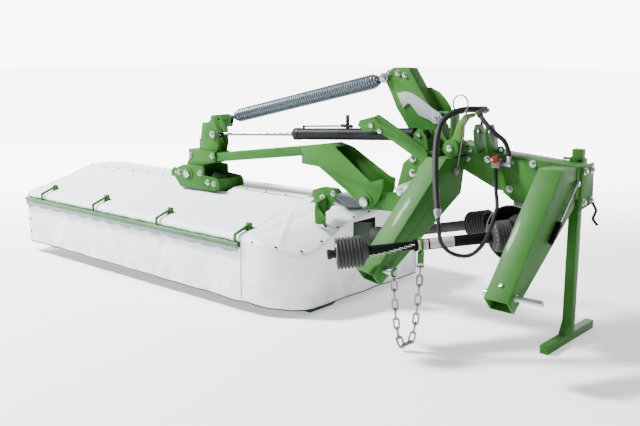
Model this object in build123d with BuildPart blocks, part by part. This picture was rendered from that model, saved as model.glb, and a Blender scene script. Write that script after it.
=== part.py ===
from build123d import *
import math
import os

# A rear three-point-linkage disc mower conditioner, parked on its skids and its
# parking stand. Millimetres. In the machine frame X runs across the machine, from
# the far end of the cutting deck (-X) to the headstock (+X), -Y points to the
# tractor, and Z is up from the ground. Finished pieces are moved so that the middle
# of the machine's footprint is the origin.

# ---------------------------------------------------------------- driving sizes
ground = 0.0
soft_gap = 0.4            # soft covers stay this far off what carries them
running_gap = 0.06        # radial gap of a shaft in its bore
slide_gap = 0.3           # gap each side of a tube that slides in a sleeve

# cutting deck
disc_count = 8
disc_pitch = 400.0
deck_near = 700.0         # outer face of the near end cover
deck_far = deck_near - disc_count * disc_pitch - 280   # outer face of the far end cover
deck_front = -705.0       # outer face of the front curtain
deck_back = 985.0         # outer face of the rear curtain
hem_height = 85.0         # lower edge of the covers
cover_wall = 10.0         # thickness of the cover cloth with its hem
lip_height = 545.0        # lower edge of the top cover's front lip
front_top = 600.0         # top of the front lip
ridge_start = (40.0, 792.0)
ridge_end = (200.0, 800.0)
rear_break = (450.0, 775.0)
rear_top = 620.0
guard_end = 225.0         # near end of the front guard
cover_joint = 235.0       # where the near end cover starts

# cutter bar and discs
bar_axis_y = -330.0
bar_width = 250.0
bar_bottom = 14.0
bar_top = 92.0
disc_long = 180.0         # half length of a disc
disc_short = 138.0        # half width of a disc
disc_seat = 104.0         # underside of a disc's hub
knife_reach = 250.0       # radius of the knife tips
knife_width = 48.0

# conditioner
rotor_y = 225.0
rotor_z = 385.0
rotor_tube_radius = 85.0
tine_reach = 225.0
tine_rows = 4
tine_pitch = 140.0
hood_radius = 250.0

# yoke, on which the deck swings
yoke_x = -1000.0
yoke_z = 889.0
yoke_pin_radius = 22.0
bracket_out = 150.0       # outer face of the deck's bracket plates, from the middle
bracket_wall = 18.0

# carrier arm and fold pivot
fold_x = 950.0
fold_z = 865.0
fold_pin_radius = 24.0
arm_half = 80.0           # half width of the arm's fork
arm_wall = 11.0
lug_half = 60.0           # half width of the headstock's lug in the fork

# hydraulic fold cylinder
cylinder_x = 1400.0
cylinder_z = 1392.0
rod_eye_x = -745.0
rod_eye_z = 1250.0
barrel_radius = 46.0
barrel_neck = 75.0         # where the barrel starts, from its pin
barrel_length = 1225.0
rod_radius = 16.0
cylinder_pin_radius = 15.0

# relief spring
spring_y = 160.0
spring_mast_x = 975.0
spring_mast_z = 1775.0
spring_tower_x = -800.0
spring_tower_z = 1370.0
spring_radius = 53.0
spring_coils = 26

# headstock
beam_left = 1600.0
beam_right = 2505.0
beam_front = 100.0
beam_back = 300.0
beam_top = 1290.0
beam_bottom = 1040.0
beam_end = 1252.0         # top of the cross beam at its near end
beam_wall = 10.0
pin_spread = 965.0        # lower hitch pins, middle to middle
near_pin_x = 2405.0
pin_y = -620.0
pin_z = 545.0
lower_pin_radius = 18.3   # category 3 lower hitch pin
lower_shank_radius = 22.0
lower_pin_length = 390.0
leg_width = 160.0
leg_wall = 10.0
top_link_x = 1850.0
top_link_z = 1440.0
top_link_radius = 16.2    # category 3 upper hitch pin with play

# parking stand
stand_x = 2400.0
stand_y = 345.0
stand_tube = 66.0
stand_wall = 5.0
sleeve_size = 88.0
stand_top = 1336.0
foot_length = 730.0
foot_size = 60.0

# drive
gear_x = 2150.0
gear_y = 190.0
gear_z = 788.0
gear_size = 240.0
shaft_free = (1312.0, -960.0, 682.0)   # tractor end of the stored drive shaft
shaft_inner = (2145.0, -120.0, 788.0)   # its inner cross joint
shaft_yoke_radius = 36.0
bell_radius = 104.0        # guard bells at the shaft's cross joints
coupling_radius = 17.5     # 1 3/8 inch six-spline coupling
shaft_radius = 37.0
deck_shaft_end = (800.0, 226.0, 530.0)

# worked out
far_pin_x = near_pin_x - pin_spread
pin_shift = 60.0          # the lower pins stand out further on the near side
frame_x = (deck_far + near_pin_x + pin_shift + lower_pin_length / 2) / 2
shaft_run = math.dist(shaft_free, shaft_inner)
shaft_lean = (shaft_inner[1] - shaft_free[1]) / shaft_run
bell_mouth = shaft_free[1] + 0.05 * (shaft_inner[1] - shaft_free[1])
yoke_front = shaft_free[1] - shaft_yoke_radius * math.sqrt(1 - shaft_lean**2)
bell_front = bell_mouth - bell_radius * math.sqrt(1 - shaft_lean**2)
shaft_front = min(yoke_front, bell_front)
frame_y = (shaft_front + deck_back) / 2


# ---------------------------------------------------------------- shared helpers
def slab_xz(points, y_low, y_high, mode=Mode.ADD):
    """A flat shape of corners (x, z), thick from y_low to y_high."""
    with BuildSketch(Plane.XZ.offset(-y_high)) as outline:
        with BuildLine():
            Polyline(*points, close=True)
        make_face()
    extrude(outline.sketch, amount=y_high - y_low, mode=mode)


def slab_yz(points, x_low, x_high, mode=Mode.ADD):
    """A flat shape of corners (y, z), thick from x_low to x_high."""
    with BuildSketch(Plane.YZ.offset(x_low)) as outline:
        with BuildLine():
            Polyline(*points, close=True)
        make_face()
    extrude(outline.sketch, amount=x_high - x_low, mode=mode)


def slab_xy(points, z_low, z_high, mode=Mode.ADD):
    """A flat shape of corners (x, y), thick from z_low to z_high."""
    with BuildSketch(Plane.XY.offset(z_low)) as outline:
        with BuildLine():
            Polyline(*points, close=True)
        make_face()
    extrude(outline.sketch, amount=z_high - z_low, mode=mode)


def block(x_low, x_high, y_low, y_high, z_low, z_high, mode=Mode.ADD):
    """A box between two corners."""
    middle = ((x_low + x_high) / 2, (y_low + y_high) / 2, (z_low + z_high) / 2)
    with Locations(middle):
        Box(x_high - x_low, y_high - y_low, z_high - z_low, mode=mode)


def rod_between(start, end, radius, mode=Mode.ADD):
    """A round rod from one point to another."""
    path = Vector(*end) - Vector(*start)
    with BuildSketch(Plane(origin=start, z_dir=path)) as section:
        Circle(radius)
    extrude(section.sketch, amount=path.length, mode=mode)


def cone_between(start, end, start_radius, end_radius, mode=Mode.ADD):
    """A round taper from one point to another."""
    path = Vector(*end) - Vector(*start)
    with BuildSketch(Plane(origin=start, z_dir=path)) as section:
        Circle(start_radius)
    with BuildSketch(Plane(origin=end, z_dir=path)) as far_section:
        Circle(end_radius)
    loft([section.sketch.face(), far_section.sketch.face()], mode=mode)


def rod_y(x, z, radius, y_low, y_high, mode=Mode.ADD):
    """A round rod along Y."""
    rod_between((x, y_low, z), (x, y_high, z), radius, mode)


def rod_x(y, z, radius, x_low, x_high, mode=Mode.ADD):
    """A round rod along X."""
    rod_between((x_low, y, z), (x_high, y, z), radius, mode)


def rod_z(x, y, radius, z_low, z_high, mode=Mode.ADD):
    """A round rod along Z."""
    rod_between((x, y, z_low), (x, y, z_high), radius, mode)


def save(piece, name):
    """Label a finished piece, bring it to the footprint's middle and write it."""
    placed = piece.part.moved(Location((-frame_x, -frame_y, -ground)))
    placed.label = name
    export_step(placed, f"parts/{name}.step")


def on_line(start, end, share):
    """The point a share of the way from start to end."""
    return tuple(a + (b - a) * share for a, b in zip(start, end))


os.makedirs("parts", exist_ok=True)

# ================================================================ cutting deck
bar_far = deck_far + 20.0
bar_near = deck_near - 20.0
bar_middle = (bar_far + bar_near) / 2
disc_places = [bar_middle + (n - (disc_count - 1) / 2) * disc_pitch for n in range(disc_count)]

# cutter bar: flat gear housing with a raised seat under every disc
with BuildPart() as cutter_bar:
    bar_profile = [
        (bar_axis_y - bar_width / 2, bar_bottom + 30),
        (bar_axis_y - bar_width / 2 + 45, bar_bottom),
        (bar_axis_y + bar_width / 2, bar_bottom),
        (bar_axis_y + bar_width / 2, bar_top - 12),
        (bar_axis_y + bar_width / 2 - 20, bar_top),
        (bar_axis_y - bar_width / 2 + 40, bar_top),
        (bar_axis_y - bar_width / 2, bar_bottom + 44),
    ]
    slab_yz(bar_profile, bar_far + 12, bar_near - 12)
    for place in disc_places:
        rod_z(place, bar_axis_y, 62, bar_top, disc_seat - 0.5)
save(cutter_bar, "cutter_bar")

# skids: one bent shoe under each disc, and stone guards at the front edge
with BuildPart() as skids:
    for place in disc_places:
        shoe = [
            (bar_axis_y - bar_width / 2 - 42, bar_bottom + 46),
            (bar_axis_y - bar_width / 2 - 42, bar_bottom + 34),
            (bar_axis_y - bar_width / 2 + 30, ground),
            (bar_axis_y + bar_width / 2 + 60, ground),
            (bar_axis_y + bar_width / 2 + 60, bar_bottom),
            (bar_axis_y - bar_width / 2 + 45, bar_bottom),
            (bar_axis_y - bar_width / 2 - 0.5, bar_bottom + 30),
            (bar_axis_y - bar_width / 2 - 0.5, bar_bottom + 46),
        ]
        slab_yz(shoe, place - 130, place + 130)
save(skids, "skids")

# discs: domed oval plates, two knives each, alternate discs turned a quarter
for number, place in enumerate(disc_places):
    along = number % 2 == 0
    with BuildPart() as disc:
        with BuildSketch(Plane.XY.offset(disc_seat + 6)) as oval:
            with Locations((place, bar_axis_y)):
                if along:
                    Ellipse(disc_long, disc_short)
                else:
                    Ellipse(disc_short, disc_long)
        extrude(oval.sketch, amount=14)
        rod_z(place, bar_axis_y, 58, disc_seat, disc_seat + 6)
        cone_between((place, bar_axis_y, disc_seat + 20), (place, bar_axis_y, disc_seat + 52), 105, 62)
        for side in (-1, 1):
            inner = side * (disc_long - 36)
            outer = side * knife_reach
            half = knife_width / 2
            low = disc_seat - 4
            if along:
                ends = sorted((place + inner, place + outer))
                block(ends[0], ends[1], bar_axis_y - half, bar_axis_y + half, low, disc_seat)
                rod_z(place + side * (disc_long - 20), bar_axis_y, 14, disc_seat, disc_seat + 6)
            else:
                ends = sorted((bar_axis_y + inner, bar_axis_y + outer))
                block(place - half, place + half, ends[0], ends[1], low, disc_seat)
                rod_z(place, bar_axis_y + side * (disc_long - 20), 14, disc_seat, disc_seat + 6)
    save(disc, f"disc_{number + 1}")

# deck frame: main tube, end plates down to the cutter bar, cross arms, lifting bracket
tube_y = (40.0, 160.0)
tube_z = (660.0, ridge_start[1] - cover_wall - soft_gap)
tube_near = cover_joint - 5.0
end_plate = 10.0
tube_wall = 8.0
arm_low, arm_high = 588.0, 766.0


def arm_top_at(y):
    """Height of a cross arm's upper edge."""
    return arm_low + (y + 585.0) * (arm_high - arm_low) / (tube_y[0] + 585.0)


guard_places = [-2490.0, -1650.0, -750.0, 190.0]
far_plate_x = bar_far + 2
near_plate_x = bar_near - 2 - end_plate
with BuildPart() as deck_frame:
    block(far_plate_x, tube_near, tube_y[0], tube_y[1], tube_z[0], tube_z[1])
    block(far_plate_x + end_plate, tube_near - 60, tube_y[0] + tube_wall, tube_y[1] - tube_wall,
        tube_z[0] + tube_wall,
          tube_z[1] - tube_wall, Mode.SUBTRACT)
    near_end = near_plate_x + end_plate
    slab_xz([(180, tube_z[0]), (380, tube_z[0]), (440, 560), (near_end, 560), (near_end, 630),
        (tube_near, tube_z[1] - 12)],
            tube_y[0], tube_y[1])
    plate_foot = [
        (bar_axis_y - bar_width / 2 + 10, bar_bottom + 2),
        (bar_axis_y + bar_width / 2 + 60, bar_bottom + 2),
        (520, 250), (520, 560),
    ]
    far_plate = plate_foot + [(tube_y[1], tube_z[1]), (tube_y[0], tube_z[1]), (-560, 575), (-560, 380)]
    near_plate = [
        (-410, bar_bottom + 2), (-145, bar_bottom + 2), (520, 250), (520, 560), (tube_y[1], 630),
        (tube_y[0], 630),
        (-400, 430), (-410, 300),
    ]
    slab_yz(far_plate, far_plate_x, far_plate_x + end_plate)
    slab_yz(near_plate, near_plate_x, near_plate_x + end_plate)
    for place in guard_places:
        cross_arm = [(tube_y[0], arm_high), (tube_y[0], 700), (-585, 560), (-585, arm_low)]
        slab_yz(cross_arm, place - 20, place + 20)
    for side in (-1, 1):
        outer = side * bracket_out
        inner = side * (bracket_out - bracket_wall)
        y_low, y_high = sorted((outer, inner))
        plate = [
            (yoke_x - 190, yoke_z - 42), (yoke_x - 150, yoke_z + 42), (yoke_x - 66, yoke_z + 74),
            (yoke_x + 190, yoke_z + 80), (yoke_x + 204, yoke_z + 62), (yoke_x + 204, yoke_z + 2),
            (yoke_x + 370, yoke_z - 10), (yoke_x + 400, yoke_z - 40), (yoke_x + 400, yoke_z - 90),
            (yoke_x + 360, 770), (yoke_x - 120, 770),
        ]
        slab_xz(plate, y_low, y_high)
        rod_y(yoke_x, yoke_z, 62, y_low - (8 if side < 0 else 0), y_high + (8 if side > 0 else 0))
    block(yoke_x - 118, yoke_x + 358, -bracket_out + 1, bracket_out - 1, 766, tube_z[1])
    for left in (yoke_x + 214, yoke_x + 336):
        block(left, left + 22, -bracket_out + bracket_wall, bracket_out - bracket_wall, tube_z[1], 862)
    rod_y(yoke_x, yoke_z, yoke_pin_radius, -400, 400, Mode.SUBTRACT)
    # small ear at the yoke's far side
    ear = [
        (yoke_x - 230, 846), (yoke_x - 130, 846), (yoke_x - 130, 910), (yoke_x - 200, 930),
        (yoke_x - 236, 890),
    ]
    slab_xz(ear, -bracket_out, -bracket_out + bracket_wall)
    rod_y(yoke_x - 186, 888, 16, -200, 0, Mode.SUBTRACT)
save(deck_frame, "deck_frame")

# pin on which the deck hangs from the yoke
with BuildPart() as yoke_pin:
    rod_y(yoke_x, yoke_z, yoke_pin_radius - running_gap, -bracket_out - 12, bracket_out + 12)
    rod_y(yoke_x, yoke_z, 36, -bracket_out - 24, -bracket_out - 8.3)
    rod_y(yoke_x, yoke_z, 36, bracket_out + 8.3, bracket_out + 24)
save(yoke_pin, "yoke_pin")

# conditioner: side walls and a hood rolled round the rotor
side_wall = 8.0
rotor_far = bar_far + 315
rotor_near = bar_near - 315
with BuildPart() as conditioner_hood:
    wall_outline = [
        (-40, 180), (60, 120), (300, 100), (900, 260), (900, 560), (450, 642), (tube_y[1], tube_z[0]),
        (tube_y[0], tube_z[0]), (0, 560),
    ]
    for left in (rotor_far - side_wall, rotor_near):
        slab_yz(wall_outline, left, left + side_wall)
        rod_x(rotor_y, rotor_z, 52, left, left + side_wall)
    with BuildSketch(Plane.YZ.offset(rotor_far)) as hood:
        with BuildLine():
            outer_arc = CenterArc((rotor_y, rotor_z), hood_radius + 5, 90, 55)
            inner_arc = CenterArc((rotor_y, rotor_z), hood_radius, 90, 55)
            Line(outer_arc @ 1, inner_arc @ 1)
            top_out = Line(outer_arc @ 0, (450, hood_radius + rotor_z + 5))
            back_out = Line(top_out @ 1, (900, 560))
            back_end = Line(back_out @ 1, (900, 555))
            back_in = Line(back_end @ 1, (450, hood_radius + rotor_z))
            Line(back_in @ 1, inner_arc @ 0)
        make_face()
    extrude(hood.sketch, amount=rotor_near - rotor_far)
    for left in (rotor_far - side_wall, rotor_near):
        rod_x(rotor_y, rotor_z, 28, left - 1, left + side_wall + 1, Mode.SUBTRACT)
save(conditioner_hood, "conditioner_hood")

# conditioner rotor: tube with rows of spring tines
with BuildPart() as conditioner_rotor:
    rod_x(rotor_y, rotor_z, rotor_tube_radius, rotor_far + 6, rotor_near - 6)
    rod_x(rotor_y, rotor_z, rotor_tube_radius - 7, rotor_far + 14, rotor_near - 14, Mode.SUBTRACT)
    rod_x(rotor_y, rotor_z, 28 - running_gap, rotor_far - side_wall - 26, rotor_near + side_wall + 26)
    full_row = int((rotor_near - rotor_far - 120) / tine_pitch)
    start_x = (rotor_far + rotor_near) / 2 - (full_row - 1) * tine_pitch / 2
    for row in range(tine_rows):
        turn = 360 / tine_rows * row
        staggered = row % 2
        outward = (0, -math.sin(math.radians(turn)), math.cos(math.radians(turn)))
        for n in range(full_row - staggered):
            x = start_x + (n + staggered / 2) * tine_pitch
            radial = Plane(origin=(x, rotor_y, rotor_z), x_dir=(1, 0, 0), z_dir=outward)
            with BuildSketch(radial.offset(rotor_tube_radius - 3)) as root:
                Rectangle(24, 16)
            extrude(root.sketch, amount=tine_reach - rotor_tube_radius + 3)
save(conditioner_rotor, "conditioner_rotor")

# deck gearbox at the near end, with its input cone
with BuildPart() as deck_gearbox:
    block(rotor_near + 80, near_plate_x, 150, 330, 300, 555)
    block(rotor_near + 90, near_plate_x - 30, -380, 150, 370, 450)
    block(disc_places[-1] - 45, rotor_near + 90, -380, -280, 370, 450)
    rod_z(disc_places[-1], bar_axis_y, 45, disc_seat + 53, 370)
save(deck_gearbox, "deck_gearbox")

# top cover: a tent of cloth over the frame with a front lip
top_outline = [
    (deck_front + 6, lip_height), (deck_front + 6, front_top - 18), (deck_front + 26, front_top),
    ridge_start, ridge_end, rear_break, (deck_back - 1, rear_top + 10),
]
under_outline = [
    (deck_back - 1, rear_top), (rear_break[0] - 2, rear_break[1] - cover_wall),
    (ridge_end[0], ridge_end[1] - cover_wall), (ridge_start[0], ridge_start[1] - cover_wall),
    (deck_front + 30, front_top - cover_wall), (deck_front + 16, front_top - 24),
    (deck_front + 16, lip_height),
]
yoke_hole = (yoke_x - 215, yoke_x + 430, -175, 175)
with BuildPart() as cover_top:
    slab_yz(top_outline + under_outline, deck_far, cover_joint - soft_gap)
    block(yoke_hole[0], yoke_hole[1], yoke_hole[2], yoke_hole[3], 640, 900, Mode.SUBTRACT)
    for place in guard_places:
        block(place - 27, place + 27, -600, -530, 560, 760, Mode.SUBTRACT)
save(cover_top, "cover_top")

# far end curtain, rear curtain
with BuildPart() as curtain_far:
    far_outline = [
        (deck_front + 30, hem_height), (deck_front + 30, front_top - 30),
        (deck_front + 34, front_top - cover_wall - 1),
        (ridge_start[0], ridge_start[1] - cover_wall - soft_gap),
        (ridge_end[0], ridge_end[1] - cover_wall - soft_gap),
        (rear_break[0] - 2, rear_break[1] - cover_wall - soft_gap),
        (deck_back - cover_wall - 1.4, rear_top + 1),
        (deck_back - cover_wall - 1.4, hem_height),
    ]
    slab_yz(far_outline, deck_far, deck_far + cover_wall)
save(curtain_far, "curtain_far")

with BuildPart() as curtain_rear:
    block(deck_far, cover_joint - soft_gap, deck_back - cover_wall - 1, deck_back - 1, hem_height,
        rear_top - soft_gap)
save(curtain_rear, "curtain_rear")

# near end cover: a sloping roof with a rounded front corner
near_corner = 360.0


def near_section(x, front, mid, rear, inset, foot):
    """One side view of the near end cover, set in by a wall."""
    with BuildSketch(Plane.YZ.offset(x)) as section:
        with BuildLine():
            Polyline(
                (deck_front + 4 + inset, foot), (deck_front + 4 + inset, front - inset),
                (ridge_start[0], mid - inset), (rear_break[0], rear - inset),
                (deck_back - inset, rear_top + 10 - inset), (deck_back - inset, foot), close=True,
            )
        make_face()
    return section.sketch.face()


def near_solid(inset, x_low, x_high, foot):
    """The near end cover's form, set in by a wall, with its front corner rounded in plan."""
    with BuildPart(mode=Mode.PRIVATE) as form:
        tall = near_section(x_low, 560, ridge_start[1], rear_break[1], inset, foot)
        short = near_section(x_high, 330, 650, 690, inset, foot)
        loft([tall, short])
        with BuildSketch(Plane.XY.offset(-50)) as plan:
            with BuildLine():
                reach = near_corner - inset
                front = deck_front + 4 + inset
                corner_x = x_high - reach
                Polyline((corner_x, front), (x_low - 50, front), (x_low - 50, 1500), (x_high, 1500),
                    (x_high, front + reach))
                CenterArc((corner_x, front + reach), reach, 270, 90)
            make_face()
        extrude(plan.sketch, amount=1500, mode=Mode.INTERSECT)
    return form.part


with BuildPart() as cover_near:
    add(near_solid(0, cover_joint, deck_near, hem_height))
    add(near_solid(cover_wall, cover_joint - 1, deck_near - cover_wall, hem_height - 20),
        mode=Mode.SUBTRACT)
    # window for the drive shaft in the end wall
    block(deck_near - 60, deck_near + 10, 90, 380, 380, 640, Mode.SUBTRACT)
    # slot for the bracket's plate in the roof
    block(556, 620, -160, -144, 560, 900, Mode.SUBTRACT)
save(cover_near, "cover_near")

# bracket at the near end of the deck's roof
with BuildPart() as deck_bracket:
    head = [
        (568, 575), (608, 575), (612, 752), (650, 770), (735, 905), (700, 940), (570, 940), (482, 910),
        (482, 860), (520, 780), (564, 752),
    ]
    slab_xz(head, -158, -146)
    slab_xz([(540, 918), (700, 918), (735, 905), (700, 940), (570, 940), (482, 910),
        (482, 890)], -158, -94)
    block(530, 660, -146, -94, 800, 812)
    block(516, 532, -158, -94, 800, 890)
    rod_y(604, 860, 26, -178, -158)
    block(560, 616, -158, tube_y[0], 563, 575)
save(deck_bracket, "deck_bracket")

# ================================================================ front guard
hinge_y = -565.0
hinge_z = 660.0
rail_y = deck_front - 15.0
rail_z = 532.0
with BuildPart() as guard_rail:
    rod_x(rail_y, rail_z, 16, deck_far, guard_end)
    for place in guard_places:
        arm = [
            (rail_y - 5, rail_z + 5), (rail_y + 9, rail_z + 5), (rail_y + 9, 600), (hinge_y - 10, 648),
            (hinge_y - 10, 664), (rail_y - 5, 612),
        ]
        slab_yz(arm, place - 9, place + 9)
        rod_x(hinge_y, hinge_z, 16, place - 9, place + 9)
        rod_x(hinge_y, hinge_z, 6, place - 10, place + 10, Mode.SUBTRACT)
save(guard_rail, "guard_rail")

with BuildPart() as curtain_front:
    block(deck_far + 3, guard_end - 4, deck_front, deck_front + cover_wall / 2, hem_height, rail_z - 20)
    block(deck_far + 3, guard_end - 4, deck_front - 14, deck_front + cover_wall / 2, rail_z - 28,
        rail_z - 16 - soft_gap)
save(curtain_front, "curtain_front")

with BuildPart() as guard_hinges:
    for place in guard_places:
        for side in (-1, 1):
            low = place + side * 16 - 6
            slab_yz([(hinge_y - 18, arm_top_at(hinge_y - 18)),
                (hinge_y + 18, arm_top_at(hinge_y + 18)), (hinge_y + 14, 674),
                (hinge_y - 14, 674)], low, low + 12)
        rod_x(hinge_y, hinge_z, 6 - running_gap, place - 22, place + 22)
save(guard_hinges, "guard_hinges")

# ================================================================ carrier arm
beam_slope = (1268.0 - 1072.0) / (577.0 + 830.0)


def beam_top_at(x):
    """Height of the carrier beam's upper edge."""
    return 1072.0 + (x + 830.0) * beam_slope


carrier_depth = 78.0
beam_half = arm_half - arm_wall
with BuildPart() as carrier_beam:
    left, right = -1035.0, 300.0
    outline = [
        (left, beam_top_at(left) - carrier_depth), (right, beam_top_at(right) - carrier_depth),
        (right, beam_top_at(right)), (left, beam_top_at(left)),
    ]
    slab_xz(outline, -beam_half, beam_half)
    inner = [
        (left + 10, beam_top_at(left + 10) - carrier_depth + 8),
        (right - 10, beam_top_at(right - 10) - carrier_depth + 8),
        (right - 10, beam_top_at(right - 10) - 8), (left + 10, beam_top_at(left + 10) - 8),
    ]
    slab_xz(inner, -beam_half + 8, beam_half - 8, Mode.SUBTRACT)
save(carrier_beam, "carrier_beam")

with BuildPart() as carrier_elbow:
    elbow = [
        (300, beam_top_at(300) - carrier_depth - 62), (476, 1082), (880, 852), (905, 824), (1000, 815),
        (1060, 880), (1098, 960), (1104, 1040), (1050, 1052), (700, 1243), (577, 1272),
        (300, beam_top_at(300)),
    ]
    slab_xz(elbow, -arm_half, arm_half)
    slab_xz([(312, 1086), (478, 1094), (868, 872), (868, 1132), (694, 1229), (576, 1258),
        (312, 1222)], -beam_half, beam_half, Mode.SUBTRACT)
    slab_xz([(868, 700), (1300, 700), (1300, 1300), (868, 1300)], -beam_half, beam_half, Mode.SUBTRACT)
    # the fork is open on top, and its front cheek is cut lower
    slab_xz([(640, 1010), (868, 880), (868, 1300), (640, 1300)], -beam_half, beam_half, Mode.SUBTRACT)
    cheek_top = [(654, 1240), (985, 1012), (1088, 1046), (1130, 1046), (1130, 1300), (654, 1300)]
    slab_xz(cheek_top, -arm_half - 1, -beam_half + 1, Mode.SUBTRACT)
    rod_y(fold_x, fold_z, 62, -arm_half - 8, -beam_half)
    rod_y(fold_x, fold_z, 62, beam_half, arm_half + 8)
    rod_y(fold_x, fold_z, fold_pin_radius, -arm_half - 20, arm_half + 20, Mode.SUBTRACT)
save(carrier_elbow, "carrier_elbow")

# saddle: grips the beam's end and comes down round the yoke pin
with BuildPart() as yoke_saddle:
    slab_xz([(-1060, 985), (-712, 1010), (-712, 1100), (-1060, 1100)], -beam_half - 16, beam_half + 16)
    slab_xz([(-1060, 1000), (-720, 1012), (-860, 968), (-940, 889), (-1060, 889),
        (-1080, 960)], -95, 95)
    rod_y(yoke_x, yoke_z, 60, -95, 95)
    outline = [
        (-1100, beam_top_at(-1100) - carrier_depth - soft_gap),
        (-700, beam_top_at(-700) - carrier_depth - soft_gap),
        (-700, beam_top_at(-700) + soft_gap), (-1100, beam_top_at(-1100) + soft_gap),
    ]
    slab_xz(outline, -beam_half - soft_gap, beam_half + soft_gap, Mode.SUBTRACT)
    rod_y(yoke_x, yoke_z, yoke_pin_radius, -120, 120, Mode.SUBTRACT)
save(yoke_saddle, "yoke_saddle")

# tower: two plates over the saddle with the rod eye between them and the spring lug
tower_half = 62.0
tower_wall = 12.0
with BuildPart() as tower:
    for side in (-1, 1):
        y_low, y_high = sorted((side * tower_half, side * (tower_half - tower_wall)))
        slab_xz([(-940, 1100), (-714, 1100), (-690, 1160), (-694, 1290), (-730, 1352),
            (-892, 1344)], y_low, y_high)
        rod_y(rod_eye_x, rod_eye_z, 46, y_low, y_high)
    block(-936, -914, -tower_half, tower_half, 1100, 1200)
    slab_xz([(-935, 1300), (-760, 1300), (-740, 1370), (-800, 1410),
        (-900, 1400)], tower_half - tower_wall, spring_y + 20)
    slab_xz([(-1000, 1330), (-700, 1330), (-700, 1430),
        (-1000, 1430)], spring_y - 16, spring_y + 16, Mode.SUBTRACT)
    rod_y(spring_tower_x, spring_tower_z, 12, tower_half - 30, spring_y + 40, Mode.SUBTRACT)
    rod_y(rod_eye_x, rod_eye_z, cylinder_pin_radius, -80, 80, Mode.SUBTRACT)
save(tower, "tower")

# pins of the carrier: fold pin, and a stub each side of the rod's eye
with BuildPart() as carrier_pins:
    rod_y(fold_x, fold_z, fold_pin_radius - running_gap, -arm_half - 24, arm_half + 24)
    rod_y(fold_x, fold_z, 38, -arm_half - 42, -arm_half - 8.3)
    rod_y(fold_x, fold_z, 34, arm_half + 8.3, arm_half + 26)
    for side in (-1, 1):
        y_low, y_high = sorted((side * 34, side * (tower_half + 16)))
        rod_y(rod_eye_x, rod_eye_z, cylinder_pin_radius - running_gap, y_low, y_high)
save(carrier_pins, "carrier_pins")

# ================================================================ hydraulic cylinder
pin_point = Vector(cylinder_x, 0, cylinder_z)
eye_point = Vector(rod_eye_x, 0, rod_eye_z)
reach = eye_point - pin_point
along_cylinder = reach.normalized()


def down_cylinder(distance):
    """A point on the cylinder's axis, measured from its rear pin."""
    point = pin_point + along_cylinder * distance
    return (point.X, point.Y, point.Z)


with BuildPart() as cylinder_barrel:
    rod_between(down_cylinder(barrel_neck), down_cylinder(barrel_length), barrel_radius)
    rod_between(down_cylinder(barrel_length - 40), down_cylinder(barrel_length + 12), barrel_radius + 3)
    rod_y(cylinder_x, cylinder_z, 34, -30, 30)
    rod_between(down_cylinder(0), down_cylinder(barrel_neck + 10), 26)
    rod_y(cylinder_x, cylinder_z, cylinder_pin_radius, -60, 60, Mode.SUBTRACT)
    rod_between(down_cylinder(barrel_neck - 13), down_cylinder(barrel_length + 30), rod_radius + 0.4,
        Mode.SUBTRACT)
save(cylinder_barrel, "cylinder_barrel")

with BuildPart() as cylinder_rod:
    rod_between(down_cylinder(940), down_cylinder(reach.length - 20), rod_radius)
    rod_y(rod_eye_x, rod_eye_z, 34, -30, 30)
    rod_y(rod_eye_x, rod_eye_z, cylinder_pin_radius + 0.4, -60, 60, Mode.SUBTRACT)
save(cylinder_rod, "cylinder_rod")

# rigid oil pipe on the barrel with its upright fitting
with BuildPart() as barrel_pipe:
    pipe_start = Vector(*down_cylinder(1150)) + Vector(0, 0, barrel_radius + 16)
    pipe_end = Vector(*down_cylinder(700)) + Vector(0, 0, barrel_radius + 16)
    rod_between(tuple(pipe_start), tuple(pipe_end), 7)
    rod_between(down_cylinder(1150), tuple(pipe_start + Vector(0, 0, 6)), 10)
    rod_between(down_cylinder(700), tuple(pipe_end + Vector(0, 0, 84)), 14)
    rod_between(tuple(pipe_end + Vector(-60, 0, 0)), tuple(pipe_end + Vector(45, 0, 0)), 13)
    rod_between(down_cylinder(1240), down_cylinder(640), barrel_radius + 0.3, Mode.SUBTRACT)
save(barrel_pipe, "barrel_pipe")

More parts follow.
